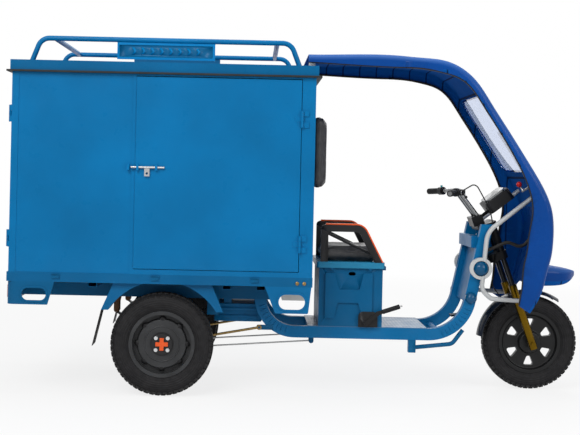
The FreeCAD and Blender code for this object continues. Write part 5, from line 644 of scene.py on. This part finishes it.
def settle(piece, node, rigid=True):
    # Puts a piece in the place of a node; one that bends doesn't ride on a body
    if rigid:
        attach(piece, BODY_OF[node])
    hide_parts(node)
    next(p["material_slot"] for p in frame["record"]["subparts"] if p["node"] == node)


def merged(node):
    # The triangles of one node as a single joined form
    form = bmesh.new()
    form.from_mesh(NODES[node].data)
    bmesh.ops.remove_doubles(form, verts=form.verts, dist=MERGE)
    return form


def islands(form):
    # The separate solids of a joined form, as sets of faces
    left = set(form.faces)
    while left:
        seed = left.pop()
        island = {seed}
        rim = [seed]
        while rim:
            for side in rim.pop().edges:
                if len(side.link_faces) > 2:
                    continue
                for other in side.link_faces:
                    if other in left:
                        left.discard(other)
                        island.add(other)
                        rim.append(other)
        yield island


def sorted_copy(node, name, first, second, choose):
    # A copy of one node whose chosen solids take the second finish
    form = merged(node)
    for island in islands(form):
        spots = [v.co for face in island for v in face.verts]
        chosen = choose(*(Vector(map(end, zip(*spots))) for end in (min, max)))
        for face in island:
            face.material_index = int(chosen)
    settle(formed(form, name, finish(first), finish(second)), node)


def evaluated(piece):
    # The mesh that the modifiers of a piece leave
    bpy.context.view_layer.update()
    ready = piece.evaluated_get(bpy.context.evaluated_depsgraph_get())
    return bpy.data.meshes.new_from_object(ready)


def plain(holder, name, body):
    # Turns the result of a node tree into a plain mesh that rides on a body
    piece = link(name, evaluated(holder))
    old = holder.data
    bpy.data.objects.remove(holder)
    bpy.data.meshes.remove(old)
    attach(piece, body)
    return piece


class Tree:
    # A geometry node tree with named inputs
    kinds = {int: "NodeSocketInt", float: "NodeSocketFloat", tuple: "NodeSocketVector"}

    def __init__(self, name, inputs):
        self.tree = bpy.data.node_groups.new(name, "GeometryNodeTree")
        self.tree.interface.new_socket("Geometry", in_out="OUTPUT", socket_type="NodeSocketGeometry")
        self.names = {}
        for label, value in inputs.items():
            kind = self.kinds[type(value)]
            socket = self.tree.interface.new_socket(label, in_out="INPUT", socket_type=kind)
            socket.default_value = value
            self.names[label] = socket.identifier
        self.entry = self.tree.nodes.new("NodeGroupInput")
        self.exit = self.tree.nodes.new("NodeGroupOutput")

    def node(self, kind, sockets, **settings):
        # A node given as a value stands for its first output
        made = self.tree.nodes.new(kind)
        for key, value in settings.items():
            setattr(made, key, value)
        for key, value in sockets.items():
            if isinstance(value, bpy.types.Node):
                value = value.outputs[0]
            if isinstance(value, bpy.types.NodeSocket):
                self.tree.links.new(value, made.inputs[key])
            else:
                made.inputs[key].default_value = value
        return made

    def math(self, operation, *values):
        return self.node("ShaderNodeMath", dict(enumerate(values)), operation=operation)

    def read(self, label):
        return self.entry.outputs[label]

    def stand(self, shape):
        # Turns a ring made flat on the floor up on its wheel
        return self.node("GeometryNodeTransform", {
            0: shape, "Rotation": (math.pi / 2, 0, 0), "Translation": self.read("Centre")})

    def close(self, shape, coat):
        real = self.node("GeometryNodeRealizeInstances", {0: shape})
        done = self.node("GeometryNodeSetMaterial", {0: real, "Material": coat.material})
        self.tree.links.new(done.outputs[0], self.exit.inputs[0])

    def holder(self, name, values):
        piece = link(name, bpy.data.meshes.new(name))
        modifier = piece.modifiers.new(name, "NODES")
        modifier.node_group = self.tree
        for label, value in values.items():
            modifier[self.names[label]] = value
        return piece


class TRICYCLE_OT_chassis(Operator):
    """Paints the frame and bed, and presses the ribs into the bends of the long beams"""
    bl_idname = "tricycle.chassis"
    bl_label = "Frame and bed"

    def execute(self, context):
        dress(finish("beam_paint"), "main_frame", "side_plates")
        dress(finish("frame_paint"), "rear_bumper")
        sorted_copy("bed_chassis", "chassis_and_shackles", "frame_paint", "shackle_brown",
                    lambda low, high: high.x - low.x < SHACKLE_LONG and high.z - low.z > SHACKLE_HIGH)
        dress(finish("roof_paint"), "bed_side_rails")
        dress(finish("bed_plate"), "bed_floor")
        dress(finish("foot_plate"), "floor_plate")
        self.ribs()
        return {"FINISHED"}

    def ribs(self):
        sizes = settings().rib
        tree = Tree("bend_ribs", {"Count": 9, "First angle": 0.0, "Step": 0.1, "Radius": 0.2,
                                  "Centre": (0, 0, 0), "Half size": (0.02, 0.004, 0.004)})
        points = tree.node("GeometryNodePoints", {"Count": tree.read("Count")})
        index = tree.node("GeometryNodeInputIndex", {})
        angle = tree.math("MULTIPLY_ADD", index, tree.read("Step"), tree.read("First angle"))
        across = tree.math("COSINE", angle)
        way = tree.node("ShaderNodeCombineXYZ", {0: across, 2: tree.math("SINE", angle)})
        arm = tree.node("ShaderNodeVectorMath", {0: way, "Scale": tree.read("Radius")}, operation="SCALE")
        spot = tree.node("ShaderNodeVectorMath", {0: arm, 1: tree.read("Centre")})
        placed = tree.node("GeometryNodeSetPosition", {0: points, "Position": spot})
        turn = tree.node("ShaderNodeCombineXYZ", {1: tree.math("MULTIPLY", angle, -1.0)})
        rib = tree.node("GeometryNodeMeshUVSphere", {"Segments": 12, "Rings": 8, "Radius": 1.0})
        each = tree.node("GeometryNodeInstanceOnPoints", {
            "Points": placed, "Instance": rib, "Rotation": turn, "Scale": tree.read("Half size")})
        tree.close(each, finish("beam_paint"))
        half = (sizes.rib_len / 2, sizes.rib_high, sizes.rib_wide / 2)
        for name, first, last, middle, radius in RIB_BENDS:
            for hand, y in (("right", -RIB_SIDE), ("left", RIB_SIDE)):
                step = math.radians(last - first) / (sizes.count - 1)
                holder = tree.holder("rib_maker", {
                    "Count": sizes.count, "First angle": math.radians(first), "Step": step, "Radius": radius,
                    "Centre": (middle[0], y, middle[1]), "Half size": half})
                piece = plain(holder, f"pressed_ribs_{name}_{hand}", BODY_OF["main_frame"])
                soften(piece, ROUND_ANGLE)


class TRICYCLE_OT_fittings(Operator):
    """Finishes the brackets, hooks, mudguards and lamps, and hangs the tray under the bed"""
    bl_idname = "tricycle.fittings"
    bl_label = "Brackets and guards"

    def execute(self, context):
        sorted_copy("rail_hooks_and_bolts", "hooks_and_bolts", "frame_paint", "brass_plate",
                    lambda low, high: high.x - low.x < BOLT_SIZE and high.z - low.z < BOLT_SIZE)
        sorted_copy("rear_mudguards", "mudguards", "roof_paint", "grip_rubber",
                    lambda low, high: high.z < FLAP_TOP)
        sorted_copy("frame_brackets", "brackets", "frame_paint", "black_paint",
                    lambda low, high: low.x > BLACK_BRACKET[0] and high.x < BLACK_BRACKET[1])
        dress(finish("red_lens"), "tail_lamps")
        self.tray()
        return {"FINISHED"}

    def block(self, form, low, high, round_by):
        # A box with rounded edges
        corners = bmesh.ops.create_cube(form, size=1)["verts"]
        for corner in corners:
            corner.co = [low[k] + (corner.co[k] + 0.5) * (high[k] - low[k]) for k in range(3)]
        edges = list({edge for corner in corners for edge in corner.link_edges})
        bmesh.ops.bevel(form, geom=edges, offset=round_by, segments=3, affect="EDGES", profile=0.5)

    def tray(self):
        # Sheet tray with a rolled lip, pressed ribs on its sides and four bolted hangers
        form = bmesh.new()
        low, high = TRAY_LOW, TRAY_HIGH
        self.block(form, low, high - LIP_OVERLAP, TRAY_ROUND)
        self.block(form, Vector((low.x, low.y, high.z - LIP_HIGH)) - LIP_OUT, high + LIP_OUT, TRAY_EDGE_ROUND)
        for side in (-1, 1):
            for share in TRAY_RIBS:
                z = low.z + share * (high.z - low.z)
                back = Vector((low.x + TRAY_RIB_INSET, side * high.y, z))
                front = Vector((high.x - TRAY_RIB_INSET, side * high.y, z))
                self.block(form, back - TRAY_RIB_HALF, front + TRAY_RIB_HALF, TRAY_EDGE_ROUND)
            inner = side * (high.y - HANGER_INSET)
            for start, end in TRAY_HANGERS:
                self.block(form, (start, inner - HANGER_HALF, high.z - HANGER_LAP),
                           (end, inner + HANGER_HALF, BED_UNDERSIDE), HANGER_ROUND)
                spot = ((start + end) / 2, inner + side * BOLT_LONG / 2, high.z + HANGER_LAP)
                turned = Matrix.Translation(spot) @ Matrix.Rotation(math.pi / 2, 4, "X")
                bmesh.ops.create_cone(form, cap_ends=True, segments=6, radius1=BOLT_REACH, radius2=BOLT_REACH,
                                      depth=BOLT_LONG, matrix=turned)
        bmesh.ops.recalc_face_normals(form, faces=form.faces)
        piece = formed(form, "under_bed_tray", finish("beam_paint"))
        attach(piece, BODY_OF["bed_chassis"])


class TRICYCLE_OT_cargo_box(Operator):
    """Paints the cargo box, its doors, hinges and bolts"""
    bl_idname = "tricycle.cargo_box"
    bl_label = "Cargo box"

    def execute(self, context):
        dress(finish("box_paint"), "box_walls", "box_frame", "side_door", "rear_door_left",
              "rear_door_right", "door_hinges")
        dress(finish("roof_paint"), "box_roof")
        dress(finish("bare_steel"), "side_door_bolt", "rear_door_bolt")
        return {"FINISHED"}


class TRICYCLE_OT_rack(Operator):
    """Paints the roof rack"""
    bl_idname = "tricycle.rack"
    bl_label = "Roof rack"

    def execute(self, context):
        sorted_copy("roof_rack", "rack_and_plates", "box_paint", "plate_paint",
                    lambda low, high: high.y - low.y < PLATE_THICK and high.x - low.x > PLATE_LONG)
        return {"FINISHED"}


class TRICYCLE_OT_cab(Operator):
    """Finishes the cab shell, its glass, edging, tubes, domes and wiper"""
    bl_idname = "tricycle.cab"
    bl_label = "Cab"

    def execute(self, context):
        dress(finish("cab_gelcoat"), "nose_cowl")
        dress(finish("screen_glass"), "windscreen")
        dress(finish("dome_paint"), "dome_caps")
        roof = self.re_roofed("cab_shell", "cab_moulding", "cab_gelcoat", self.sheet_ring)
        self.re_roofed("rubber_trims", "cab_edging", "trim_rubber", self.edging_right, self.edging_left)
        self.raised_feet(roof)
        sorted_copy("wiper", "wiper_arm_and_knob", "bare_steel", "red_knob",
                    lambda low, high: max(high - low) < KNOB_SIZE)
        return {"FINISHED"}

    def roof_profile(self):
        # Heights of the roof and of its wing edges along the rear stretch, running smoothly into the bend
        shell = merged("cab_shell")
        hull = BVHTree.FromBMesh(shell)
        shell.free()

        def bend(y, start, way):
            # Height and slope of the shell where the bend begins
            here, ahead = (hull.ray_cast(Vector((x, y, start)), Vector((0, 0, way)))[0].z
                           for x in (ROOF_CUT, ROOF_CUT + PROBE_STEP))
            return here, (ahead - here) / PROBE_STEP

        def curve(share, first, first_slope, last, last_slope):
            span = ROOF_CUT - ROOF_START
            back = 1 - share
            return (first * back * back * (1 + 2 * share) + last * share * share * (3 - 2 * share)
                    + span * (first_slope * share * back * back - last_slope * share * share * back))

        top = bend(PROBE_SIDE, PROBE_ABOVE, -1)
        edge = bend(CAB_SHEET / 2 - CAB_HALF, PROBE_BELOW, 1)
        rows = []
        for number in range(ROOF_STEPS + 1):
            share = number / ROOF_STEPS
            rows.append((ROOF_START + share * (ROOF_CUT - ROOF_START), curve(share, ROOF_HEIGHT, 0, *top),
                         curve(share, ROOF_EDGE, ROOF_EDGE_SLOPE, *edge)))
        return rows

    def corner(self, middle, radius, first, last):
        for number in range(CORNER_STEPS + 1):
            angle = math.radians(first + (last - first) * number / CORNER_STEPS)
            yield middle[0] + radius * math.cos(angle), middle[1] + radius * math.sin(angle)

    def sheet_ring(self, top, edge):
        # Rounded U of the sheet, out along its outer face and back along its inner one
        side = CAB_HALF - CAB_CORNER
        rise = top - CAB_CORNER
        inner = CAB_CORNER - CAB_SHEET
        ring = [(-CAB_HALF, edge)]
        ring += self.corner((-side, rise), CAB_CORNER, 180, 90)
        ring += self.corner((side, rise), CAB_CORNER, 90, 0)
        ring += [(CAB_HALF, edge), (CAB_HALF - CAB_SHEET, edge)]
        ring += self.corner((side, rise), inner, 0, 90)
        ring += self.corner((-side, rise), inner, 90, 180)
        ring.append((CAB_SHEET - CAB_HALF, edge))
        return ring

    def edging_ring(self, side, edge):
        reach = EDGING_HALF - EDGING_CORNER
        ring = []
        for number, (y, z) in enumerate(((1, 1), (-1, 1), (-1, -1), (1, -1))):
            middle = (side + y * reach, edge + z * reach)
            ring += self.corner(middle, EDGING_CORNER, number * 90, number * 90 + 90)
        return ring

    def edging_right(self, top, edge):
        return self.edging_ring(-EDGING_SIDE, edge)

    def edging_left(self, top, edge):
        return self.edging_ring(EDGING_SIDE, edge)

    def sweep(self, form, rings):
        # A closed skin through rings of points, capped at both ends
        loops = [[form.verts.new(spot) for spot in ring] for ring in rings]
        skin = []
        for before, after in zip(loops, loops[1:]):
            for i, here in enumerate(before):
                skin.append(form.faces.new((before[i - 1], here, after[i], after[i - 1])))
        caps = [form.faces.new(loops[0]), form.faces.new(loops[-1])]
        bmesh.ops.recalc_face_normals(form, faces=skin + caps)
        bmesh.ops.triangulate(form, faces=caps)

    def re_roofed(self, node, name, finish_name, *sections):
        # A copy whose rear stretch is swept in one clean curve up to the bend above the screen
        form = merged(node)
        parts = set()
        for island in islands(form):
            if max(v.co.x for face in island for v in face.verts) > ROOF_CUT:
                parts |= island
                for face in island:
                    parts.update(face.verts, face.edges)
        bmesh.ops.bisect_plane(form, geom=list(parts), dist=CUT_MERGE, plane_co=(ROOF_CUT, 0, 0),
                               plane_no=(1, 0, 0), clear_inner=True)
        cut = [edge for edge in form.edges if edge.is_boundary]
        caps = bmesh.ops.holes_fill(form, edges=cut)["faces"]
        bmesh.ops.triangulate(form, faces=caps)
        rows = self.roof_profile()
        for section in sections:
            self.sweep(form, [[(x, y, z) for y, z in section(top, edge)] for x, top, edge in rows])
        piece = formed(form, name, finish(finish_name))
        settle(piece, node)
        return piece

    def raised_feet(self, roof):
        # The support tubes, with the rear feet brought up to the straightened roof
        form = bmesh.new()
        form.from_mesh(roof.data)
        hull = BVHTree.FromBMesh(form)
        form.free()
        tubes = merged("cab_supports")
        feet = [corner for corner in tubes.verts if corner.co.x < FOOT_FRONT and corner.co.z > FOOT_LOW]
        base = min(corner.co.z for corner in feet)
        head = max(corner.co.z for corner in feet)
        for corner in feet:
            reach = hull.ray_cast(Vector((corner.co.x, corner.co.y, base)), Vector((0, 0, 1)))[0]
            corner.co.z = base + (corner.co.z - base) / (head - base) * (reach.z - FOOT_GAP - base)
        settle(formed(tubes, "cab_tubes", finish("pale_enamel")), "cab_supports")


class TRICYCLE_OT_wheels(Operator):
    """Finishes the rims and tyres, adds dimples and beads, and cuts the tread blocks"""
    bl_idname = "tricycle.wheels"
    bl_label = "Wheels"

    def execute(self, context):
        rear = rim_paint("rear_rim_paint", "rear_rim_right", True)
        dress(rear, "rear_rim_right", "rear_rim_left")
        dress(rim_paint("front_rim_paint", "front_rim", False), "front_rim")
        self.dimples(rear)
        tyres = (("rear_rubber", "rear_tyre_right", "rear_tyre_left"), ("front_rubber", "front_tyre"))
        for name, *nodes in tyres:
            rubber = tyre_rubber(name, nodes[0])
            dress(rubber, *nodes)
            tree = self.tread(rubber)
            for node in nodes:
                self.cut(tree, node)
        return {"FINISHED"}

    def dimples(self, rim):
        # Dimples painted black as shade, which close the small holes of the rear discs, and a pressed bead
        # inside them
        spots = Tree("rim_dimples", {"Count": 8, "Radius": DIMPLE_RING, "Half size": DIMPLE_HALF,
                                     "Centre": (0, 0, 0)})
        ring = spots.node("GeometryNodeMeshCircle", {
            "Vertices": spots.read("Count"), "Radius": spots.read("Radius")})
        dish = spots.node("GeometryNodeMeshUVSphere", {"Segments": 20, "Rings": 10, "Radius": 1.0})
        each = spots.node("GeometryNodeInstanceOnPoints", {
            "Points": ring, "Instance": dish, "Scale": spots.read("Half size")})
        spots.close(spots.stand(each), finish("dimple_black"))
        bead = Tree("rim_bead", {"Radius": BEAD_RING, "Half": BEAD_HALF, "Centre": (0, 0, 0)})
        path, wire = (
            bead.node("GeometryNodeCurvePrimitiveCircle", {"Resolution": steps, "Radius": bead.read(label)})
            for steps, label in ((72, "Radius"), (12, "Half")))
        swept = bead.node("GeometryNodeCurveToMesh", {"Curve": path, "Profile Curve": wire})
        bead.close(bead.stand(swept), rim)
        for hand, side in (("right", -1), ("left", 1)):
            node = "rear_rim_" + hand
            middle = wheel_place(node)
            for tree, name, out in ((spots, "rim_dimples_", DIMPLE_SIDE), (bead, "rim_bead_", BEAD_SIDE)):
                holder = tree.holder("rim_maker", {"Centre": (middle.x, side * out, middle.z)})
                soften(plain(holder, name + hand, BODY_OF[node]), ROUND_ANGLE)

    def tread(self, rubber):
        tree = Tree("tread_blocks", {"Count": 54, "Radius": 0.25, "Offset": 0.0, "Size": (0.006, 0.02, 0.02),
                                     "Lean": (0, 0, 0), "Start": 0.0, "Centre": (0, 0, 0)})
        ring = tree.node("GeometryNodeMeshCircle", {
            "Vertices": tree.read("Count"), "Radius": tree.read("Radius")})
        place = tree.node("GeometryNodeInputPosition", {})
        face = tree.node("FunctionNodeAlignRotationToVector", {"Vector": place}, axis="X", pivot_axis="Z")
        block = tree.node("GeometryNodeMeshCube", {"Size": tree.read("Size")})
        each = tree.node("GeometryNodeInstanceOnPoints", {
            "Points": ring, "Instance": block, "Rotation": face})
        leant = tree.node("GeometryNodeRotateInstances", {0: each, "Rotation": tree.read("Lean")})
        spin = tree.node("ShaderNodeCombineXYZ", {2: tree.read("Start")})
        lift = tree.node("ShaderNodeCombineXYZ", {2: tree.read("Offset")})
        spun = tree.node("GeometryNodeTransform", {0: leant, "Rotation": spin, "Translation": lift})
        tree.close(tree.stand(spun), rubber)
        return tree

    def cut(self, tree, node):
        sizes = settings().tread
        middle = wheel_place(node)
        low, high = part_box(node)
        outer = (high.z - low.z) / 2
        half = (high.y - low.y) / 2
        slit = 2 * math.pi / sizes.count
        for number, (share, down, phase, lean) in enumerate(TREAD_ROWS):
            crown = outer - down * sizes.shoulder
            roll = -math.copysign(SHOULDER_ROLL, share) * down
            holder = tree.holder("tread_maker", {
                "Count": sizes.count, "Radius": crown - sizes.block_high / 2 - TREAD_SINK,
                "Offset": share * half, "Size": (sizes.block_high, sizes.block_len, sizes.block_wide),
                "Lean": (lean, roll, 0), "Start": phase * slit, "Centre": tuple(middle)})
            plain(holder, f"tread_{node}_{number}", BODY_OF[node])


class TRICYCLE_OT_running_gear(Operator):
    """Finishes the axle, springs, rods and pedal"""
    bl_idname = "tricycle.running_gear"
    bl_label = "Axle and brakes"

    def execute(self, context):
        dress(finish("black_paint"), "rear_axle", "brake_pedal", "handbrake_lever")
        self.springs()
        dress(finish("brass_plate"), "torque_rods")
        dress(finish("bare_steel"), "brake_rods", "handbrake_button")
        return {"FINISHED"}

    def springs(self):
        # The leaf packs as one piece that rides on no body, with its place baked into its points
        packs = formed(merged("leaf_springs"), "leaf_packs", finish("black_paint"))
        settle(packs, "leaf_springs", rigid=False)
        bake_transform(packs)


class TRICYCLE_OT_electrics(Operator):
    """Finishes the battery blocks, controller and loom"""
    bl_idname = "tricycle.electrics"
    bl_label = "Battery and loom"

    def execute(self, context):
        dress(finish("battery_case"), "battery_pack")
        dress(finish("bare_steel"), "motor_controller")
        dress(finish("trim_rubber"), "wiring_conduit")
        return {"FINISHED"}


class TRICYCLE_OT_seat(Operator):
    """Finishes the seat barrel and arms, and swells the two pads"""
    bl_idname = "tricycle.seat"
    bl_label = "Seat"

    def execute(self, context):
        self.barrel()
        dress(finish("lid_paint"), "seat_lid")
        sorted_copy("armrests", "arms_and_edging", "black_plastic", "orange_trim",
                    lambda low, high: high.x > ARM_EDGING_FRONT)
        self.pad("seat_cushion", "seat_pad", 2)
        self.pad("backrest", "back_pad", 0)
        return {"FINISHED"}

    def barrel(self):
        # The field round the raised pressing lies deeper, so that the pressing stands out
        form = merged("seat_barrel")
        for corner in form.verts:
            if BARREL_FIELD - BARREL_BAND < abs(corner.co.y) < BARREL_FIELD:
                corner.co.y -= math.copysign(BARREL_SINK, corner.co.y)
        piece = formed(form, "pressed_barrel", finish("frame_paint"), angle=PRESSED_ANGLE)
        settle(piece, "seat_barrel")

    def pad(self, node, name, thin):
        # A smaller copy that swells back to the size of the node; thin is the axis of its thickness
        sizes = settings().pad
        low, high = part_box(node)
        middle = (low + high) / 2
        half = (high - low) / 2
        form = merged(node)
        for corner in form.verts:
            for axis in range(3):
                share = (half[axis] - sizes.shrink) / half[axis]
                corner.co[axis] = middle[axis] + (corner.co[axis] - middle[axis]) * share
        piece = formed(form, name)
        remesh = piece.modifiers.new("even", "REMESH")
        remesh.mode = "VOXEL"
        remesh.voxel_size = sizes.voxel
        self.apply(piece)
        self.swell(piece, low, high)
        smooth = piece.modifiers.new("round", "SUBSURF")
        smooth.levels = 1
        smooth.render_levels = 1
        self.apply(piece)
        self.seam(piece, low, high, thin)
        piece.data.materials.clear()
        piece.data.materials.append(finish("black_leather").material)
        soften(piece, PAD_ANGLE)
        settle(piece, node)

    def apply(self, piece):
        mesh = evaluated(piece)
        old = piece.data
        piece.modifiers.clear()
        piece.data = mesh
        bpy.data.meshes.remove(old)

    def swell(self, piece, low, high):
        sizes = settings().pad
        start = [corner.co.copy() for corner in piece.data.vertices]
        cloth = piece.modifiers.new("swell", "CLOTH")
        cloth.settings.use_pressure = True
        cloth.settings.uniform_pressure_force = PAD_PRESSURE
        cloth.settings.effector_weights.gravity = 0
        for number in range(1, PAD_FRAMES + 1):
            bpy.context.scene.frame_set(number)
        self.apply(piece)
        bpy.context.scene.frame_set(1)
        for corner, was in zip(piece.data.vertices, start):
            move = corner.co - was
            if move.length > sizes.reach:
                move *= sizes.reach / move.length
            place = was + move
            for axis in range(3):
                place[axis] = min(max(place[axis], low[axis]), high[axis])
            corner.co = place

    def seam(self, piece, low, high, thin):
        # A sewn line round the edge, where the cover is pulled in
        middle = (low + high) / 2
        line = low[thin] + (high[thin] - low[thin]) * SEAM_SHARE
        for corner in piece.data.vertices:
            near = math.exp(-((corner.co[thin] - line) / SEAM_WIDE) ** 2)
            pull = middle - corner.co
            pull[thin] = 0
            if pull.length > 0:
                corner.co += pull.normalized() * near * SEAM_DEEP


class TRICYCLE_OT_steering(Operator):
    """Finishes the fork, handlebar, controls and front mudguard"""
    bl_idname = "tricycle.steering"
    bl_label = "Steering"

    def execute(self, context):
        dress(finish("black_paint"), "fork_crown", "brake_lever")
        dress(finish("gold_alloy"), "fork_legs")
        dress(finish("fork_black"), "fork_stanchions")
        dress(finish("smoked_chrome"), "handlebar")
        dress(finish("guard_navy"), "front_mudguard")
        dress(finish("grip_rubber"), "throttle_grip", "brake_cable")
        dress(finish("cyan_button"), "horn_button")
        sorted_copy("switch_pods", "pods_and_grip", "black_plastic", "grip_rubber",
                    lambda low, high: high.y - low.y > GRIP_LONG)
        sorted_copy("instrument", "instrument_case", "black_plastic", "smoked_chrome",
                    lambda low, high: high.y - low.y < DIAL_WIDE)
        return {"FINISHED"}


class TRICYCLE_OT_stage(Operator):
    """Sets the floor, the light and the camera of the photograph"""
    bl_idname = "tricycle.stage"
    bl_label = "Stage"

    def execute(self, context):
        self.floor()
        self.light()
        self.camera()
        context.scene.view_settings.view_transform = "Standard"
        return {"FINISHED"}

    def floor(self):
        form = bmesh.new()
        form.faces.new([form.verts.new((x * FLOOR_HALF, y * FLOOR_HALF, -FLOOR_DROP))
                        for x, y in ((-1, -1), (1, -1), (1, 1), (-1, 1))])
        made = Finish("floor_sheet", Roughness=0.9, Specular_IOR_Level=0.0)
        made.set(Base_Color=made.mix(made.noise(3, 2), (0.84, 0.84, 0.84), (0.88, 0.88, 0.88)))
        x, y, _ = made.axes()
        share = made.span(distance(x, y), *FLOOR_FADE, 0.8, 1.0)
        glow = made.node("ShaderNodeEmission", {"Color": WHITE, "Strength": 1.0})
        made.surface("Material Output", made.seen() * share, Value(made, made.principled.outputs[0]), glow[0])
        piece = formed(form, "studio_floor", made)

    def light(self):
        world = bpy.data.worlds.new("studio")
        bpy.context.scene.world = world
        world.use_nodes = True
        made = Shader(world.node_tree)
        soft = made.tree.nodes["Background"]
        made.put(soft.inputs["Color"], WHITE)
        made.put(soft.inputs["Strength"], WORLD_LIGHT)
        bright = made.node("ShaderNodeBackground", {"Color": WHITE, "Strength": 1.0})
        made.surface("World Output", made.seen(), Value(made, soft.outputs[0]), bright[0])
        for name, place, size, power in LAMPS:
            lamp = bpy.data.lights.new(name, "AREA")
            lamp.size = size
            lamp.energy = power
            aim = (LAMP_AIM - Vector(place)).to_track_quat("-Z", "Y")
            link(name, lamp).matrix_world = Matrix.Translation(place) @ aim.to_matrix().to_4x4()

    def camera(self):
        sizes = settings().stage
        lens = bpy.data.cameras.new("photo_camera")
        lens.lens = sizes.lens
        lens.sensor_width = SENSOR_WIDTH
        lens.shift_x, lens.shift_y = sizes.shift
        holder = link("photo_camera", lens)
        turn = Matrix.Rotation(math.pi / 2, 4, "X") @ Matrix.Rotation(sizes.roll, 4, "Z")
        holder.matrix_world = Matrix.Translation(sizes.eye) @ turn
        bpy.context.scene.camera = holder


STEPS = ("chassis", "fittings", "cargo_box", "rack", "cab", "wheels", "running_gear", "electrics", "seat",
         "steering", "stage")


class TricycleSettings(PropertyGroup):
    paint: PointerProperty(name="Paint", description="Colours of the finishes", type=PaintSettings)
    tread: PointerProperty(name="Tread", description="Blocks on the tyres", type=TreadSettings)
    rib: PointerProperty(name="Ribs", description="Pressed ribs of the beams", type=RibSettings)
    pad: PointerProperty(name="Pads", description="Seat and back pads", type=PadSettings)
    stage: PointerProperty(name="Stage", description="Camera of the photograph", type=StageSettings)


class TRICYCLE_PT_panel(Panel):
    bl_label = "Cargo tricycle"
    bl_space_type = "VIEW_3D"
    bl_region_type = "UI"
    bl_category = "Tricycle"

    def draw(self, context):
        for step in STEPS:
            self.layout.operator("tricycle." + step)


CLASSES = (PaintSettings, TreadSettings, RibSettings, PadSettings, StageSettings, TricycleSettings,
           TRICYCLE_OT_chassis, TRICYCLE_OT_fittings, TRICYCLE_OT_cargo_box, TRICYCLE_OT_rack,
           TRICYCLE_OT_cab, TRICYCLE_OT_wheels, TRICYCLE_OT_running_gear, TRICYCLE_OT_electrics,
           TRICYCLE_OT_seat, TRICYCLE_OT_steering, TRICYCLE_OT_stage, TRICYCLE_PT_panel)


def register():
    for each in CLASSES:
        bpy.utils.register_class(each)
    bpy.types.Scene.tricycle = PointerProperty(type=TricycleSettings)


def unregister():
    del bpy.types.Scene.tricycle
    for each in reversed(CLASSES):
        bpy.utils.unregister_class(each)


def main():
    register()
    for step in STEPS:
        getattr(bpy.ops.tricycle, step)()


if __name__ == "__main__":
    main()
